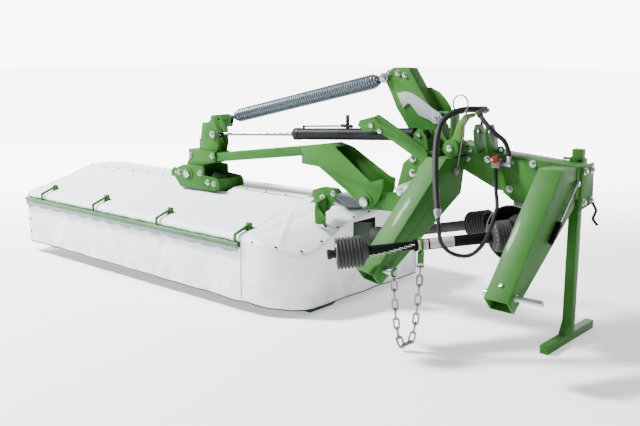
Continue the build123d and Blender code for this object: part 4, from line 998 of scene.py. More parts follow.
@dataclass(frozen=True)
class Covers:
    """The white covers of the cutting deck with their hems, flaps and studs, in machine millimetres."""

    corner: float = 360.0
    hem: float = 85.0
    lip: float = -701.0
    back: float = 984.0
    curtain_end: float = 232.0
    curtain_face: float = -703.0
    curtain_top: float = 511.0
    curtain_room: Span = (-727.0, -694.0)
    flap_end: float = 221.0
    flap_face: float = -725.0
    flap_height: Span = (468.0, 520.0)
    bay: float = 214.0
    wall_share: float = 0.42
    slot_reach: float = 27.0
    yoke: Window = Window((-1196, -70, 640), (-594, 154, 900))
    plate: Window = Window((553, -162, 560), (623, -142, 900))
    shaft: Window = Window((620, 90, 380), (720, 380, 640))
    hem_wire: float = 4.5
    stud_outline: Outline = ((0, 0), (0, 11), (3, 10), (5.5, 5), (6, 0))
    roof_folds: tuple[Fold, ...] = (
        Fold(0.35, -430, 26, 6), Fold(0.5, -1960, 40, -6), Fold(-0.4, -1180, 30, 6),
    )
    curtain_folds: tuple[Fold, ...] = (
        Fold(-0.55, -2330, 34, 9), Fold(0.4, -1250, 26, 9), Fold(-0.3, -820, 40, -9),
        Fold(0.2, -1790, 22, 7), Fold(-0.5, -330, 30, -7), Fold(-0.8, -60, 24, 7),
    )
    wall_folds: tuple[Fold, ...] = (
        Fold(0.0, 0.22, 0.018, 14), Fold(0.0, 0.305, 0.02, -14),
        Fold(-0.05, 0.135, 0.012, 10), Fold(0.04, 0.43, 0.02, -10),
    )
    near_folds: tuple[Fold, ...] = (Fold(0.6, 180, 24, 10), Fold(-0.2, 470, 40, -10))

    def roof_at(self, u: float, v: float) -> Vector:
        """A place on the top cover.

        Args:
            u: the share of its length, from the far end.
            v: the share of its depth, from the front lip.

        Returns:
            The point.
        """
        x = FAR + u * (NEAR_JOINT - 0.5 - FAR)
        y, z = along(RIDGE, v)
        share = max(0.0, math.sin(math.pi * unit((y + 690) / 730))) if y < 40 else 0.0
        gap = min(abs(x - arm) for arm in ARMS)
        ease = min(1.0, (NEAR_JOINT - x) / 130)
        z -= share * ease * 11 * (1 - math.exp(-(gap / 240) ** 2))
        z += slack(x / 420, y / 300, 0, 4.5) * ease * min(1.0, (y + 700) / 90)
        z += share * sum(fold.height(x, y) for fold in self.roof_folds)
        roll = max(0.0, 1 - abs(y + 690) / 60)
        z += roll * ease * slack(x / 130, 5, 0, 9.0)
        return spot(x, y + (slack(x / 150, 2, 0, 3.0) if y < -680 else 0.0), z)

    def front_at(self, u: float, v: float) -> Vector:
        """A place on the guard's curtain.

        Args:
            u: the share of its length, from the far end.
            v: the share of its height, from the hem.

        Returns:
            The point.
        """
        x = FAR + 3 + u * (self.curtain_end - FAR - 3)
        hem = self.hem + 24 * (1 - u)
        z = hem + v * (self.curtain_top - hem)
        ease = min(1.0, (self.curtain_end - x) / 110)
        loose = math.sin(math.pi * v) ** 0.6 * ease
        y = self.curtain_face - slack(x / 330, 0, z / 900, 9.0) * loose
        y -= 9 * (1 - v) * ease * noise.noise(Vector((x / 210, 4, 0)))
        y -= loose * sum(fold.height(x, z) for fold in self.curtain_folds)
        lift = 8 * noise.noise(Vector((x / 260, 9, 1))) * (1 - v) ** 2
        outermost, innermost = self.curtain_room
        return spot(x, max(outermost, min(innermost, y)), z + lift)

    def flap_at(self, u: float, v: float) -> Vector:
        """A place on the scalloped flap under the guard's rail, which is grey as painted shadow of the rail.

        Args:
            u: the share of its length, from the far end.
            v: the share of its height, from the hem.

        Returns:
            The point.
        """
        x = FAR + 3 + u * (self.flap_end - FAR - 3)
        sag = abs(math.sin(math.pi * (x - FAR) / self.bay))
        foot, top = self.flap_height
        foot += 16 * (1 - sag ** 0.6) + 6 * noise.noise(Vector((x / 120, 0, 5)))
        return spot(x, self.flap_face - 5 * (1 - v) * sag, foot + v * (top - foot))

    def fold_at(self, u: float, v: float) -> Vector:
        """A place on the turned-back flap beside the roof bracket, which is grey as painted shade from the
        arm.

        Args:
            u: the share of its length.
            v: the share of its width.

        Returns:
            The point.
        """
        x = 590 - 330 * v + 90 * u
        y = 130 + 300 * u + 40 * v
        z = self.near_roof(min(x, NEAR_END), y) + 14 + 16 * math.sin(math.pi * v) + 12 * v
        return spot(x, y, z + slack(x / 90, y / 90, 4, 4.0))

    def edge_at(self, share: float) -> tuple[float, float]:
        """The near cover's outline in plan, from its front joint round the corner to the back.

        Args:
            share: the share of its length.

        Returns:
            The point in plan.
        """
        reach, front = self.corner, self.lip
        straight, bend = NEAR_END - reach - NEAR_JOINT, math.pi / 2 * reach
        side = self.back - (front + reach)
        way = share * (straight + bend + side)
        if way < straight:
            tucked = 3 * max(0.0, 1 - way / 45) ** 0.5
            return NEAR_JOINT - 9 + way * (1 + 9 / straight), front + tucked
        if way < straight + bend:
            turn = (way - straight) / reach
            return NEAR_END - reach + reach * math.sin(turn), front + reach - reach * math.cos(turn)
        return NEAR_END, front + reach + way - straight - bend

    def near_roof(self, x: float, y: float) -> float:
        """The height of the near cover's roof, which falls towards its end.

        Args:
            x: the place along the machine.
            y: the place across the deck.

        Returns:
            The height.
        """
        fall = max(0.0, (x - NEAR_JOINT) / (NEAR_END - NEAR_JOINT)) ** 2.4
        return height_on([(place, height - drop * fall) for place, height, drop in NEAR_ROOF], y)

    def near_at(self, u: float, v: float) -> Vector:
        """A place on the near end cover.

        Args:
            u: the share of its outline, from the front joint.
            v: the share of the way up its wall and then in over its roof.

        Returns:
            The point.
        """
        if v < self.wall_share:
            return self.near_wall(u, v / self.wall_share)
        return self.near_top(u, (v - self.wall_share) / (1 - self.wall_share))

    def near_wall(self, u: float, up: float) -> Vector:
        """A place on the near cover's wall.

        Args:
            u: the share of its outline.
            up: the share of its height, from the hem.

        Returns:
            The point.
        """
        edge_x, edge_y = self.edge_at(u)
        hem = self.hem - 42 * unit((u - 0.03) / 0.25)
        z = hem + up * (self.near_roof(edge_x, edge_y) - hem)
        loose = math.sin(math.pi * min(1.0, up + 0.12)) * min(1.0, u * 12)
        bulge = -3 + slack(u * 5.2, 3, z / 700, 8.0) * loose
        bulge += loose * sum(fold.height(u, up) for fold in self.wall_folds)
        room = 8 + 16 * unit((-430 - edge_y) / 150)
        inward = max(-room, min(0.0, bulge - 4)) if u > 0.02 else 0.0
        tuck = (inward - room) / 2 * (1 - up) ** 2 * min(1.0, u * 8)
        out = inward * (1 - (1 - up) ** 2 / 2) + tuck
        heart = Vector((NEAR_END - self.corner, max(edge_y, self.lip + self.corner)))
        way = Vector((0, -1)) if edge_x < heart.x else (Vector((edge_x, edge_y)) - heart).normalized()
        lift = 9 * noise.noise(Vector((u * 9, 2, 2))) * (1 - up) ** 2
        return spot(edge_x + way.x * out, edge_y + way.y * out, z + lift)

    def near_top(self, u: float, over: float) -> Vector:
        """A place on the near cover's roof.

        Args:
            u: the share of its outline.
            over: the share of the way in to the joint.

        Returns:
            The point.
        """
        edge_x, edge_y = self.edge_at(u)
        seam_y = self.lip + (self.back - self.lip) * u ** 0.8
        x = edge_x + (NEAR_JOINT - edge_x) * over
        y = edge_y + (seam_y - edge_y) * over
        loose = math.sin(math.pi * over)
        z = self.near_roof(x, y) + slack(x / 260, y / 260, 1, 7.0) * loose
        z += loose * sum(fold.height(x, y) for fold in self.near_folds)
        return spot(x, y, z - 1)

    def wall_at(self, x_low: float, x_high: float, y_low: float, y_high: float) -> Surface:
        """A hanging wall between two places in plan, up to the roof.

        Args:
            x_low: where it starts along the machine.
            x_high: where it ends.
            y_low: where it starts across the deck.
            y_high: where it ends.

        Returns:
            Its surface.
        """

        def place(u: float, v: float) -> Vector:
            """A place on the wall.

            Args:
                u: the share of its length.
                v: the share of its height, from the hem.

            Returns:
                The point.
            """
            x, y = x_low + u * (x_high - x_low), y_low + u * (y_high - y_low)
            top = height_on(WALL_TOP, y)
            z = self.hem + v * (top - self.hem)
            swing = slack(x / 300, y / 300, z / 800, 5.0) * math.sin(math.pi * v)
            flat = abs(y_high - y_low) < 1
            return spot(x + (0 if flat else 5 - abs(swing)), y - (3 + abs(swing) if flat else 0), z)

        return place

    def build(self) -> None:
        """Makes every sheet, its hem and its studs."""
        reach = self.slot_reach
        slots = tuple(Window((arm - reach, -600, 560), (arm + reach, -530, 700)) for arm in ARMS)
        sheets = [
            Cloth("roof_cover", "cover_top", Body.DECK, "stretched", ("deck_frame_finished",), 240, 72,
                  (3.014, 1.852), self.roof_at, (self.yoke, *slots), 2),
            Cloth("front_curtain", "curtain_front", Body.GUARD, "hung", ("guard_rail_finished",), 300, 40,
                  (2.998, 0.43), self.front_at, (), 1),
            # the flap under the rail takes the grey cloth of painted shadow
            Cloth("rail_flap_shadow", "", Body.GUARD, "hung", ("guard_rail_finished",), 300, 5,
                  (2.998, 0.05), self.flap_at, (), 0, area=0.125, finish=Finish.SHADOW_CLOTH, thick=2.0),
            Cloth("near_cover", "cover_near", Body.DECK, "draped", ("deck_frame_finished",), 190, 84,
                  (1.99, 1.0), self.near_at, (self.shaft, self.plate), 3),
            Cloth("far_curtain", "curtain_far", Body.DECK, "hung", ("deck_frame_finished",), 90, 30,
                  (1.65, 0.70), self.wall_at(FAR, FAR, 974, -675), (), 0),
            Cloth("rear_curtain", "curtain_rear", Body.DECK, "hung", ("roof_cover",), 160, 26,
                  (3.015, 0.53), self.wall_at(NEAR_JOINT - 1, FAR, self.back, self.back), (), 0),
            Cloth("near_rear_curtain", "", Body.DECK, "hung", ("near_cover",), 40, 26,
                  (0.465, 0.53), self.wall_at(NEAR_END, NEAR_JOINT, self.back, self.back), (), 0),
            # the turned-back flap takes the grey cloth of painted shade
            Cloth("folded_flap_shade", "", Body.DECK, "draped", ("near_cover",), 24, 18,
                  (0.32, 0.34), self.fold_at, (), 0, finish=Finish.SHADOW_CLOTH),
        ]
        for sheet in sheets:
            piece, hem = sheet.build()
            if sheet.name != "rail_flap_shadow":
                wire(f"{sheet.name}_hem", hem, self.hem_wire, Finish.PIPING, sheet.body)
        self.studs()

    def studs(self) -> None:
        """Adds the press studs and the strip along the ridge, which is a dark line of painted shade."""
        rows = []
        for n in range(13):
            x = FAR + 40 + n * 230
            if not -1260 < x < -540:
                ridge = self.roof_at((x - FAR) / (NEAR_JOINT - FAR), 0.452)
                rows.append((ridge + UP * MM, UP))
        rows += [(self.roof_at(0.012, 0.1 + n * 0.075) + UP * MM, UP) for n in range(5)]
        for z in (190, 320, 450):
            up = (z - self.hem) / (self.curtain_top - self.hem)
            rows.append((self.front_at(0.012, up) + FRONT * 1.5 * MM, FRONT))
        rows += [(spot(FAR - 1, -600 + n * 130, 480 + n * 26), -NEAR) for n in range(6)]
        edge_way = Vector((0.2, -0.2, 1))
        rows += [(self.near_at(0.06 + n * 0.1, 0.455) + UP * 2 * MM, edge_way) for n in range(9)]
        studs = Fittings("cover_studs")
        for place, way in rows:
            studs.turned(place, place + way, self.stud_outline, 12)
        studs.done(Finish.GLOSS_BLACK, Body.DECK)
        # the ridge strip takes the grey cloth of painted shade
        strip = [self.roof_at(n / 150, 0.443) + UP * 3.5 * MM for n in range(151)]
        beside_yoke = [place for place in strip if place.x > spot(-570, 0, 0).x]
        wire("ridge_seam_shade", beside_yoke, 3.0, Finish.SHADOW_CLOTH, Body.DECK)


# ------------------------------------------------------------------ spring, shafts and hoses
def ribbed(length: float, ribs: int, crest: float, valley: float, wall: float = 7.0) -> Outline:
    """The closed outline of a ribbed guard bell, open at its start.

    Args:
        length: its ribbed length in millimetres.
        ribs: how many ribs it has.
        crest: the radius over its ribs.
        valley: the radius between them.
        wall: how thick it is at its valleys.

    Returns:
        Points of length and radius.
    """
    pitch = length / ribs
    outline = [(0.0, valley - wall), (0.0, crest - 2), (2.0, crest)]
    for n in range(ribs):
        at = n * pitch
        outline += [(at + pitch * 0.42, crest), (at + pitch * 0.52, crest - 2.5), (at + pitch * 0.60, valley)]
        outline += [(at + pitch * 0.86, valley), (at + pitch * 0.94, crest - 2.5), (at + pitch, crest)]
    outline += [(length + 3, valley), (length + 3, valley - wall)]
    return outline + [outline[0]]


@dataclass(frozen=True)
class ReliefSpring:
    """The long tension spring from the mast to the yoke's tower, in machine millimetres."""

    mast: Point = (975.0, 160.0, 1775.0)
    tower: Point = (-800.0, 160.0, 1370.0)
    radius: float = 47.6
    wire: float = 9.8
    pitch: float = 23.6
    hook: float = 92.0
    taper: float = 62.0
    squeeze: float = 0.42
    facets: int = 18
    eye_radius: float = 19.0
    eye_wire: float = 6.5
    plug_from: float = 26.0
    plug: Outline = ((0, 0), (0, 9), (52, 9), (58, 14), (90, 15), (128, 24), (150, 23), (150, 0))
    nut_from: float = 62.0

    def build(self) -> None:
        """Makes the spring."""
        start, end = spot(*self.mast), spot(*self.tower)
        run = (end - start).length / MM
        turns = int((run - 2 * self.hook) / self.pitch)
        coil = Fittings("relief_spring_coil")
        part = bmesh.new()
        geometry = section(part, self.radius, self.wire, 8, True)
        spun(part, geometry, math.tau * turns, self.facets * turns, self.pitch / self.facets * MM)
        whole = turns * self.pitch
        for vert in part.verts:
            edge = min(vert.co.z / MM, whole - vert.co.z / MM)
            tight = self.squeeze + (1 - self.squeeze) * unit(edge / self.taper) ** 0.7
            vert.co.x *= tight
            vert.co.y *= tight
        first = start + (end - start).normalized() * self.hook * MM
        coil.take(part, aimed(first, end - start))
        for origin, other in ((start, end), (end, start)):
            way = (other - origin).normalized()
            coil.turned(origin + way * self.plug_from * MM, other, self.plug, 20)
            coil.hoop(origin, BACK, self.eye_radius, self.eye_wire)
            coil.bolt(origin + way * self.nut_from * MM, way, 26, 14, False)
        piece = coil.done(Finish.COIL, Body.SPRING, ("relief_spring",))
        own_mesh(piece)


def around(first: Vector, second: Vector, angle: float, radius: float) -> Vector:
    """A step of so many millimetres, turned by an angle from one direction towards another."""
    return (first * math.cos(angle) + second * math.sin(angle)) * radius * MM


@dataclass(frozen=True)
class DriveLine:
    """The stored drive shaft on the headstock and the shaft out to the deck.

    A place along a shaft is a share of its length, and everything else is in machine millimetres.
    """

    free: Point = (1312.0, -960.0, 682.0)
    inner: Point = (2145.0, -120.0, 788.0)
    deck_start: Point = (1868.0, 200.0, 788.0)
    deck_end: Point = (800.0, 226.0, 530.0)
    thin_from: float = 0.205
    thick_from: float = 0.48
    free_bell: float = 0.05
    inner_bell: float = 1.03
    inner_mouth: float = 0.948
    crest: float = 104.0
    valley: float = 90.0
    free_length: float = 160.0
    inner_length: float = 96.0
    clip_radius: float = 70.0
    slots: int = 18
    slot_radius: float = 86.0
    labels: tuple[Point, ...] = ((0.50, 0.555, 0.0), (0.565, 0.70, 0.12))
    label_radius: float = 40.6
    links: int = 17
    link_radius: float = 8.5
    link_wire: float = 1.9
    deck_tube: float = 0.65

    def shaft(self, share: float) -> Vector:
        """A point on the stored shaft's axis."""
        return spot(*self.free).lerp(spot(*self.inner), share)

    def way(self) -> Vector:
        """The direction of the stored shaft, from its free end."""
        return (self.shaft(1) - self.shaft(0)).normalized()

    def build(self) -> None:
        """Makes both shafts."""
        length = (self.shaft(1) - self.shaft(0)).length / MM
        thin, thick = length * 0.30, length * 0.42
        inner = [(0, 22), (0, 47), (22, 40), (30, 31), (thin, 30), (thin, 22), (0, 22)]
        outer = [(0, 30.5), (0, 40), (14, 40), (18, 37), (thick, 37), (thick + 14, 45), (thick + 30, 50),
                 (thick + 30, 28), (0, 30.5)]
        tubes = Fittings("shaft_guard_tubes")
        tubes.turned(self.shaft(self.thin_from), self.shaft(1), inner)
        tubes.turned(self.shaft(self.thick_from), self.shaft(1), outer)
        tubes.done(Finish.PLASTIC, Body.HEADSTOCK, ("drive_shaft",))
        free_cone = [(0, 40), (0, 100), (12, 94), (30, 58), (44, 50), (44, 40), (0, 40)]
        inner_cone = [(0, 40), (0, 98), (8, 101), (18, 101), (22, 84), (44, 52), (44, 40), (0, 40)]
        bells = Fittings("shaft_bells")
        mouth = self.shaft(self.free_bell)
        neck = mouth + self.way() * (self.free_length + 2) * MM
        bells.turned(mouth, self.shaft(1), ribbed(self.free_length, 7, self.crest, self.valley), 40)
        bells.turned(neck, self.shaft(1), free_cone, 40)
        near_bell = ribbed(self.inner_length, 5, self.crest, self.valley)
        bells.turned(self.shaft(self.inner_bell), self.shaft(0), near_bell, 40)
        bells.turned(self.shaft(self.inner_mouth), self.shaft(0), inner_cone, 40)
        bells.done(Finish.RUBBER, Body.HEADSTOCK)
        self.forks()
        self.trim()
        self.deck_side()

    def forks(self) -> None:
        """Makes the coupling and cross joints that look out of the bells."""
        sleeve = [(0, 17.6), (0, 30), (3, 33), (26, 33), (30, 27), (46, 27), (50, 34), (62, 35), (62, 17.6),
                  (0, 17.6)]
        cap = [(0, 0), (0, 15), (16, 15), (20, 12), (20, 0)]
        joint = Fittings("shaft_coupling")
        way = self.way()
        joint.turned(self.shaft(0), self.shaft(1), sleeve, 28)
        side = way.cross(DOWN).normalized()
        tilt = (side + DOWN * 0.6).normalized()
        for turn in (side, way.cross(side).normalized()):
            for sign in (-1, 1):
                middle = self.shaft(0.075) + turn * sign * 30 * MM
                joint.turned(middle, middle + turn * sign, cap, 20)
        for sign in (-1, 1):
            seat = self.shaft(0.045) + tilt * sign * 29 * MM
            joint.turned(seat, seat + way, [(0, 0), (0, 12), (34, 9), (34, 0)], 16)
        core = [(0, 0), (0, 24), (40, 24), (52, 18), (180, 18), (180, 0)]
        hub = [(0, 0), (0, 36), (30, 36), (38, 30), (82, 30), (82, 0)]
        joint.turned(self.shaft(0.06), self.shaft(1), core, 24)
        joint.turned(self.shaft(0.93), self.shaft(1), rod(83, 30), 24)
        joint.turned(spot(2145, -122, 788), spot(2145, 0, 788), hub, 28)
        joint.done(Finish.GLOSS_BLACK, Body.HEADSTOCK)

    def trim(self) -> None:
        """Makes the clip, the bright slots, the blank plates and the little holding chain."""
        head, way = Body.HEADSTOCK, self.way()
        side = way.cross(DOWN).normalized()
        lift = side.cross(way).normalized()
        lift = lift if lift.z > 0 else -lift
        toward = side if side.y < 0 else -side
        mouth = self.shaft(0.047)
        ring = [mouth + around(side, lift, a, self.clip_radius) - way * 6 * MM * math.sin(2 * a)
                for a in [math.radians(n * 12 + 20) for n in range(19)]]
        wire("shaft_clip", ring, 2.6, Finish.ZINC, head)
        marks = Fittings("bell_slots")
        for n in range(self.slots):
            a = math.tau * n / self.slots
            out = side * math.cos(a) + lift * math.sin(a)
            place = self.shaft(0.9285) + out * self.slot_radius * MM
            corners = [place + out * s * MM + out.cross(way) * t * MM
                       for s, t in ((-7, -3), (7, -3), (7, 3), (-7, 3))]
            marks.slab(corners, -way * 2 * MM, 0.6)
        marks.done(Finish.GREY, head)
        plates = Fittings("blank_plates")
        for low, high, turn in self.labels:
            self.label(plates, (low, high), (toward, lift), turn)
        plates.done(Finish.LABEL, head)
        chain = Fittings("holding_chain")
        for n in range(self.links):
            t = n / (self.links - 1)
            radius = 35 + 8 * t + (6 if n % 2 else 3)
            middle = self.shaft(0.235 + 0.235 * t) + around(toward, lift, math.radians(-52 + 74 * t), radius)
            facing = (toward if n % 2 else lift) + way * 0.2
            chain.hoop(middle, facing, self.link_radius, self.link_wire, steps=14)
        chain.done(Finish.ZINC, head)

    def label(self, plates: Fittings, span: Span, axes: tuple[Vector, Vector], turn: float) -> None:
        """Adds a thin blank plate bent round the tube, on the tractor side.

        Args:
            plates: the piece that it joins.
            span: where it starts and ends along the shaft, as shares.
            axes: the directions from the shaft to the tractor side and up.
            turn: how far it is turned round the shaft.
        """
        start, end = self.shaft(span[0]), self.shaft(span[1])
        toward, lift = axes
        part = bmesh.new()
        bmesh.ops.create_grid(part, x_segments=10, y_segments=4, size=0.5)
        for vert in part.verts:
            a = math.radians(-38 + 100 * (vert.co.x + 0.5)) + turn
            place = start.lerp(end, vert.co.y + 0.5)
            vert.co = place + around(toward, lift, a, self.label_radius)
        bmesh.ops.solidify(part, geom=part.faces[:], thickness=0.8 * MM)
        plates.take(part, Matrix.Identity(4))

    def deck_side(self) -> None:
        """Makes the shaft that swings out to the deck."""
        start, end = spot(*self.deck_start), spot(*self.deck_end)
        whole = (end - start).length / MM
        cone = [(0, 30), (0, 90), (14, 84), (30, 52), (48, 44), (48, 30), (0, 30)]
        reach = whole * self.deck_tube
        tube = [(0, 30), (0, 38), (reach, 38), (reach, 30), (0, 30)]
        bell = [(0, 30), (0, 42), (30, 44), (40, 56), (60, 52), (80, 62), (100, 56), (130, 65), (180, 66),
                (180, 50), (0, 30)]
        stub = [(-19, 0), (-19, 12), (-8, 19), (8, 19), (20, 17), (60, 17), (60, 0)]
        shaft = Fittings("deck_shaft_guard")
        shaft.turned(start.lerp(end, 0.03), end, ribbed(150, 7, 94, 82), 40)
        shaft.turned(start.lerp(end, 0.165), end, cone, 36)
        shaft.turned(start.lerp(end, 0.19), end, tube)
        shaft.turned(start.lerp(end, 0.83), end, bell, 36)
        shaft.turned(start, end, stub, 24)
        shaft.done(Finish.RUBBER, Body.DECK_SHAFT, ("deck_shaft",))


@dataclass(frozen=True)
class Hose:
    """An oil hose on the headstock, along one smooth line."""

    name: str
    node: str
    route: tuple[Point, ...]
    radius: float
    length: float
    finish: Finish
    far_end: str

    def build(self, pieces: Sequence[Piece] = ()) -> None:
        """Makes the hose; pieces are the fittings on it.

        Args:
            pieces: not used.
        """
        curve = bpy.data.curves.new(self.name, "CURVE")
        curve.dimensions = "3D"
        curve.bevel_depth = self.radius * MM
        curve.bevel_resolution = 5
        curve.resolution_u = 10
        curve.use_fill_caps = True
        line = curve.splines.new("NURBS")
        line.points.add(len(self.route) - 1)
        for knot, place in zip(line.points, self.route):
            knot.co = (*spot(*place), 1)
        line.order_u = 3
        line.use_endpoint_u = True
        piece = bpy.data.objects.new(self.name, curve)
        bpy.context.scene.collection.objects.link(piece)
        fit(piece, self.finish, Body.HEADSTOCK, (self.node,))
        self.radius * 2 * MM


@dataclass(frozen=True)
class Hoses:
    """The three hoses, the ferrule between two of them and the collars at the valve."""

    join: Point = (1850.0, -500.0, 950.0)
    bend: Point = (1655.0, -290.0, 1357.0)
    port: Point = (1952.0, 48.0, 1201.0)
    elbow: Point = (2036.0, 70.0, 1246.0)
    ferrule: Outline = ((0, 21.2), (0, 24), (34, 24), (44, 18), (62, 17), (62, 13.1), (0, 21.2))

    def build(self) -> None:
        """Makes the fittings and the hoses."""
        join, bend = Vector(self.join), Vector(self.bend)
        way = (join - bend).normalized()
        knee = tuple(join + way * 100)
        main = ((1800, 72, 1583), (1640, -75, 1601), self.bend, self.join)
        lower = (self.join, knee, (1886, -520, 770), (1926, -440, 684), (2016, -346, 664), (2112, -322, 788),
                 (2154, -296, 974), (2081, -144, 981), (1952, 48, 1077), self.port)
        short = ((1858, -20, 1548), (1950, -50, 1462), (2036, 70, 1366), self.elbow)
        ferrule = Fittings("hose_ferrule")
        ferrule.turned(spot(*join) - way * 30 * MM, spot(*join) + way, self.ferrule, 24)
        joined = ferrule.done(Finish.ZINC, Body.HEADSTOCK)
        ends = Fittings("hose_ends")
        for place, bore in ((self.port, 13.1), (self.elbow, 16.1)):
            collar = [(0, bore), (0, bore + 4), (34, bore + 4), (38, bore + 1), (0, bore)]
            ends.turned(spot(*place), spot(*place) - DOWN, collar, 20)
        ends.done(Finish.ZINC, Body.HEADSTOCK)
        Hose("hose_main_sleeved", "hose_main", main, 21.0, 1.012, Finish.SLEEVE, "fitting").build([joined])
        Hose("hose_lower_line", "hose_lower", lower, 13.0, 1.278, Finish.HOSE, "object").build()
        Hose("hose_short_sleeved", "hose_short", short, 16.0, 0.407, Finish.SLEEVE, "object").build()


# ------------------------------------------------------------------ small hardware
@dataclass(frozen=True)
class BoltRow:
    """Like bolts whose heads face one way; paired ones have twins on the other side of the arm's middle."""

    seats: tuple[Point, ...]
    way: Vector
    across: float
    height: float = 0.0
    paired: bool = False

    def drive(self, piece: Fittings) -> None:
        """Adds the bolts to a piece.

        Args:
            piece: what they are added to.
        """
        for x, y, z in self.seats:
            piece.bolt(spot(x, y, z), self.way, self.across, self.height)
            if self.paired:
                piece.bolt(spot(x, -y, z), -self.way, self.across, self.height)


@dataclass(frozen=True)
class Hardware:
    """The bolts, nuts, pins and small plates on every frame, in machine millimetres."""

    headstock: tuple[BoltRow, ...] = (
        BoltRow(((1722, 90, 1302), (1708, 90, 1236), (1862, 90, 1246)), FRONT, 26),
        BoltRow(((2405, -644, 607),), Vector((0, -0.683, 0.731)), 26),
        BoltRow(((975, 84, 1775),), FRONT, 40, 16),
        BoltRow(((975, 236, 1775),), BACK, 40, 16),
        BoltRow(((1440, 80, 1498),), FRONT, 34, 14),
        BoltRow(((1010, 104, 1812), (1090, 104, 1812), (1150, 104, 1800)), FRONT, 24),
        BoltRow(((1360, -80, 1120), (1440, -80, 1150), (1360, -80, 1225), (1470, -80, 1075)), FRONT, 28),
        BoltRow(((2040, 88, 1240), (2040, 88, 1060), (2200, 88, 1245), (2280, 88, 1200)), FRONT, 26),
        BoltRow(((2517, 190, 1215), (2517, 300, 1215), (2517, 190, 1010), (2517, 310, 1010)), NEAR, 26),
        BoltRow(((2400, 389, 1030), (2400, 389, 1240)), BACK, 22),
    )
    carrier: tuple[BoltRow, ...] = (
        BoltRow(((-745, -78, 1250),), FRONT, 34, 12, True),
        BoltRow(((-1030, -85, 1048), (-748, -85, 1060)), FRONT, 24, 0.0, True),
        BoltRow(((-800, 206, 1370),), BACK, 30, 14),
        BoltRow(((-800, 116, 1370),), FRONT, 30, 14),
    )
    deck: tuple[BoltRow, ...] = (
        BoltRow(((-1120, -150, 890), (-840, -150, 905)), FRONT, 26, 0.0, True),
        BoltRow(((-740, -150, 836), (-660, -150, 832)), FRONT, 26, 0.0, True),
        BoltRow(((604, -178, 860),), FRONT, 32, 12),
        BoltRow(((690, -158, 905),), FRONT, 22),
    )
    hanger: tuple[Point, ...] = ((540, -184, 846), (646, -184, 862), (650, -206, 742), (622, -214, 664),
                                 (566, -214, 660), (548, -206, 742))
    ledge: tuple[Point, ...] = ((536, -186, 852), (648, -186, 868), (640, -262, 846), (548, -262, 830))
    strap: tuple[Point, ...] = ((574, -222, 800), (596, -222, 812), (684, -226, 716), (664, -226, 700))
    slots: tuple[Point, ...] = ((190, -69, 1156), (300, -80, 1163))
    spring: ReliefSpring = ReliefSpring()

    def build(self) -> None:
        """Makes every piece of hardware."""
        head = Fittings("headstock_bolts")
        for row in self.headstock:
            row.drive(head)
        cap = [(0, 0), (0, 24), (5, 24), (9, 16), (9, 0)]
        head.turned(spot(1640, -50, 1313), spot(1640, -200, 1313), cap, 24)
        head.turned(spot(1952, 4, 1260), spot(1952, -30, 1258), rod(16, 9), 16)
        head.done(Finish.ZINC, Body.HEADSTOCK)
        self.carrier_bolts()
        deck = Fittings("deck_bolts")
        for row in self.deck:
            row.drive(deck)
        deck.done(Finish.ZINC, Body.DECK)
        folds = Fittings("bracket_folds")
        for corners, way, thick in ((self.hanger, FRONT, 6), (self.ledge, UP, 6), (self.strap, FRONT, 7)):
            folds.slab([spot(*corner) for corner in corners], way * thick * MM)
        folds.done(Finish.LEAF, Body.DECK)
        self.hole_shade()

    def carrier_bolts(self) -> None:
        """Makes the arm's bolts, the pin of the spring's eye and the threaded rod that draws the spring."""
        eye = spot(*self.spring.tower)
        line = (eye - spot(*self.spring.mast)).normalized()
        carrier = Fittings("carrier_bolts")
        for row in self.carrier:
            row.drive(carrier)
        carrier.turned(spot(-800, 116, 1370), spot(-800, 216, 1370), rod(92, 11.9), 20)
        carrier.turned(eye + line * 14 * MM, eye + line, [(0, 0), (0, 10), (272, 10), (275, 7), (275, 0)], 20)
        for reach, washer in ((150, True), (176, False), (250, False)):
            carrier.bolt(eye + line * reach * MM, line, 30, 20, washer)
        carrier.done(Finish.ZINC, Body.CARRIER)

    def hole_shade(self) -> None:
        """Makes dark discs and plates as painted shade in the mouths of the pin's hole, the rail's end and
        the beam's slots.
        """
        pin = Fittings("pin_hole_shade")
        pin.turned(spot(2640, -620, 563.2), spot(2640, -620, 600), rod(0.4, 6), 16)
        pin.done(Finish.RUBBER, Body.HEADSTOCK)
        mouth = Fittings("rail_end_shade")
        mouth.turned(spot(224.6, -720, 532), spot(300, -720, 532), rod(1, 12.5), 24)
        mouth.done(Finish.RUBBER, Body.GUARD)
        marks = Fittings("beam_slot_shade")
        for x, y, z in self.slots:
            corners = [spot(x + s, y, z + t) for s, t in ((-24, -7), (24, -5), (24, 7), (-24, 5))]
            marks.slab(corners, FRONT * 0.8 * MM, 0.3)
        marks.done(Finish.RUBBER, Body.CARRIER)


# ------------------------------------------------------------------ studio
@dataclass(frozen=True)
class Lamp:
    """A soft lamp, in metres and watts."""

    name: str
    place: Point
    size: float
    power: float
    target: Point = (-0.2, 0.0, 0.7)

    def build(self) -> None:
        """Hangs the lamp and aims it at the machine."""
        lamp = bpy.data.lights.new(self.name, "AREA")
        lamp.size = self.size
        lamp.energy = self.power
        stand = bpy.data.objects.new(self.name, lamp)
        stand.location = self.place
        stand.rotation_euler = (Vector(self.target) - Vector(self.place)).to_track_quat("-Z", "Y").to_euler()
        bpy.context.scene.collection.objects.link(stand)


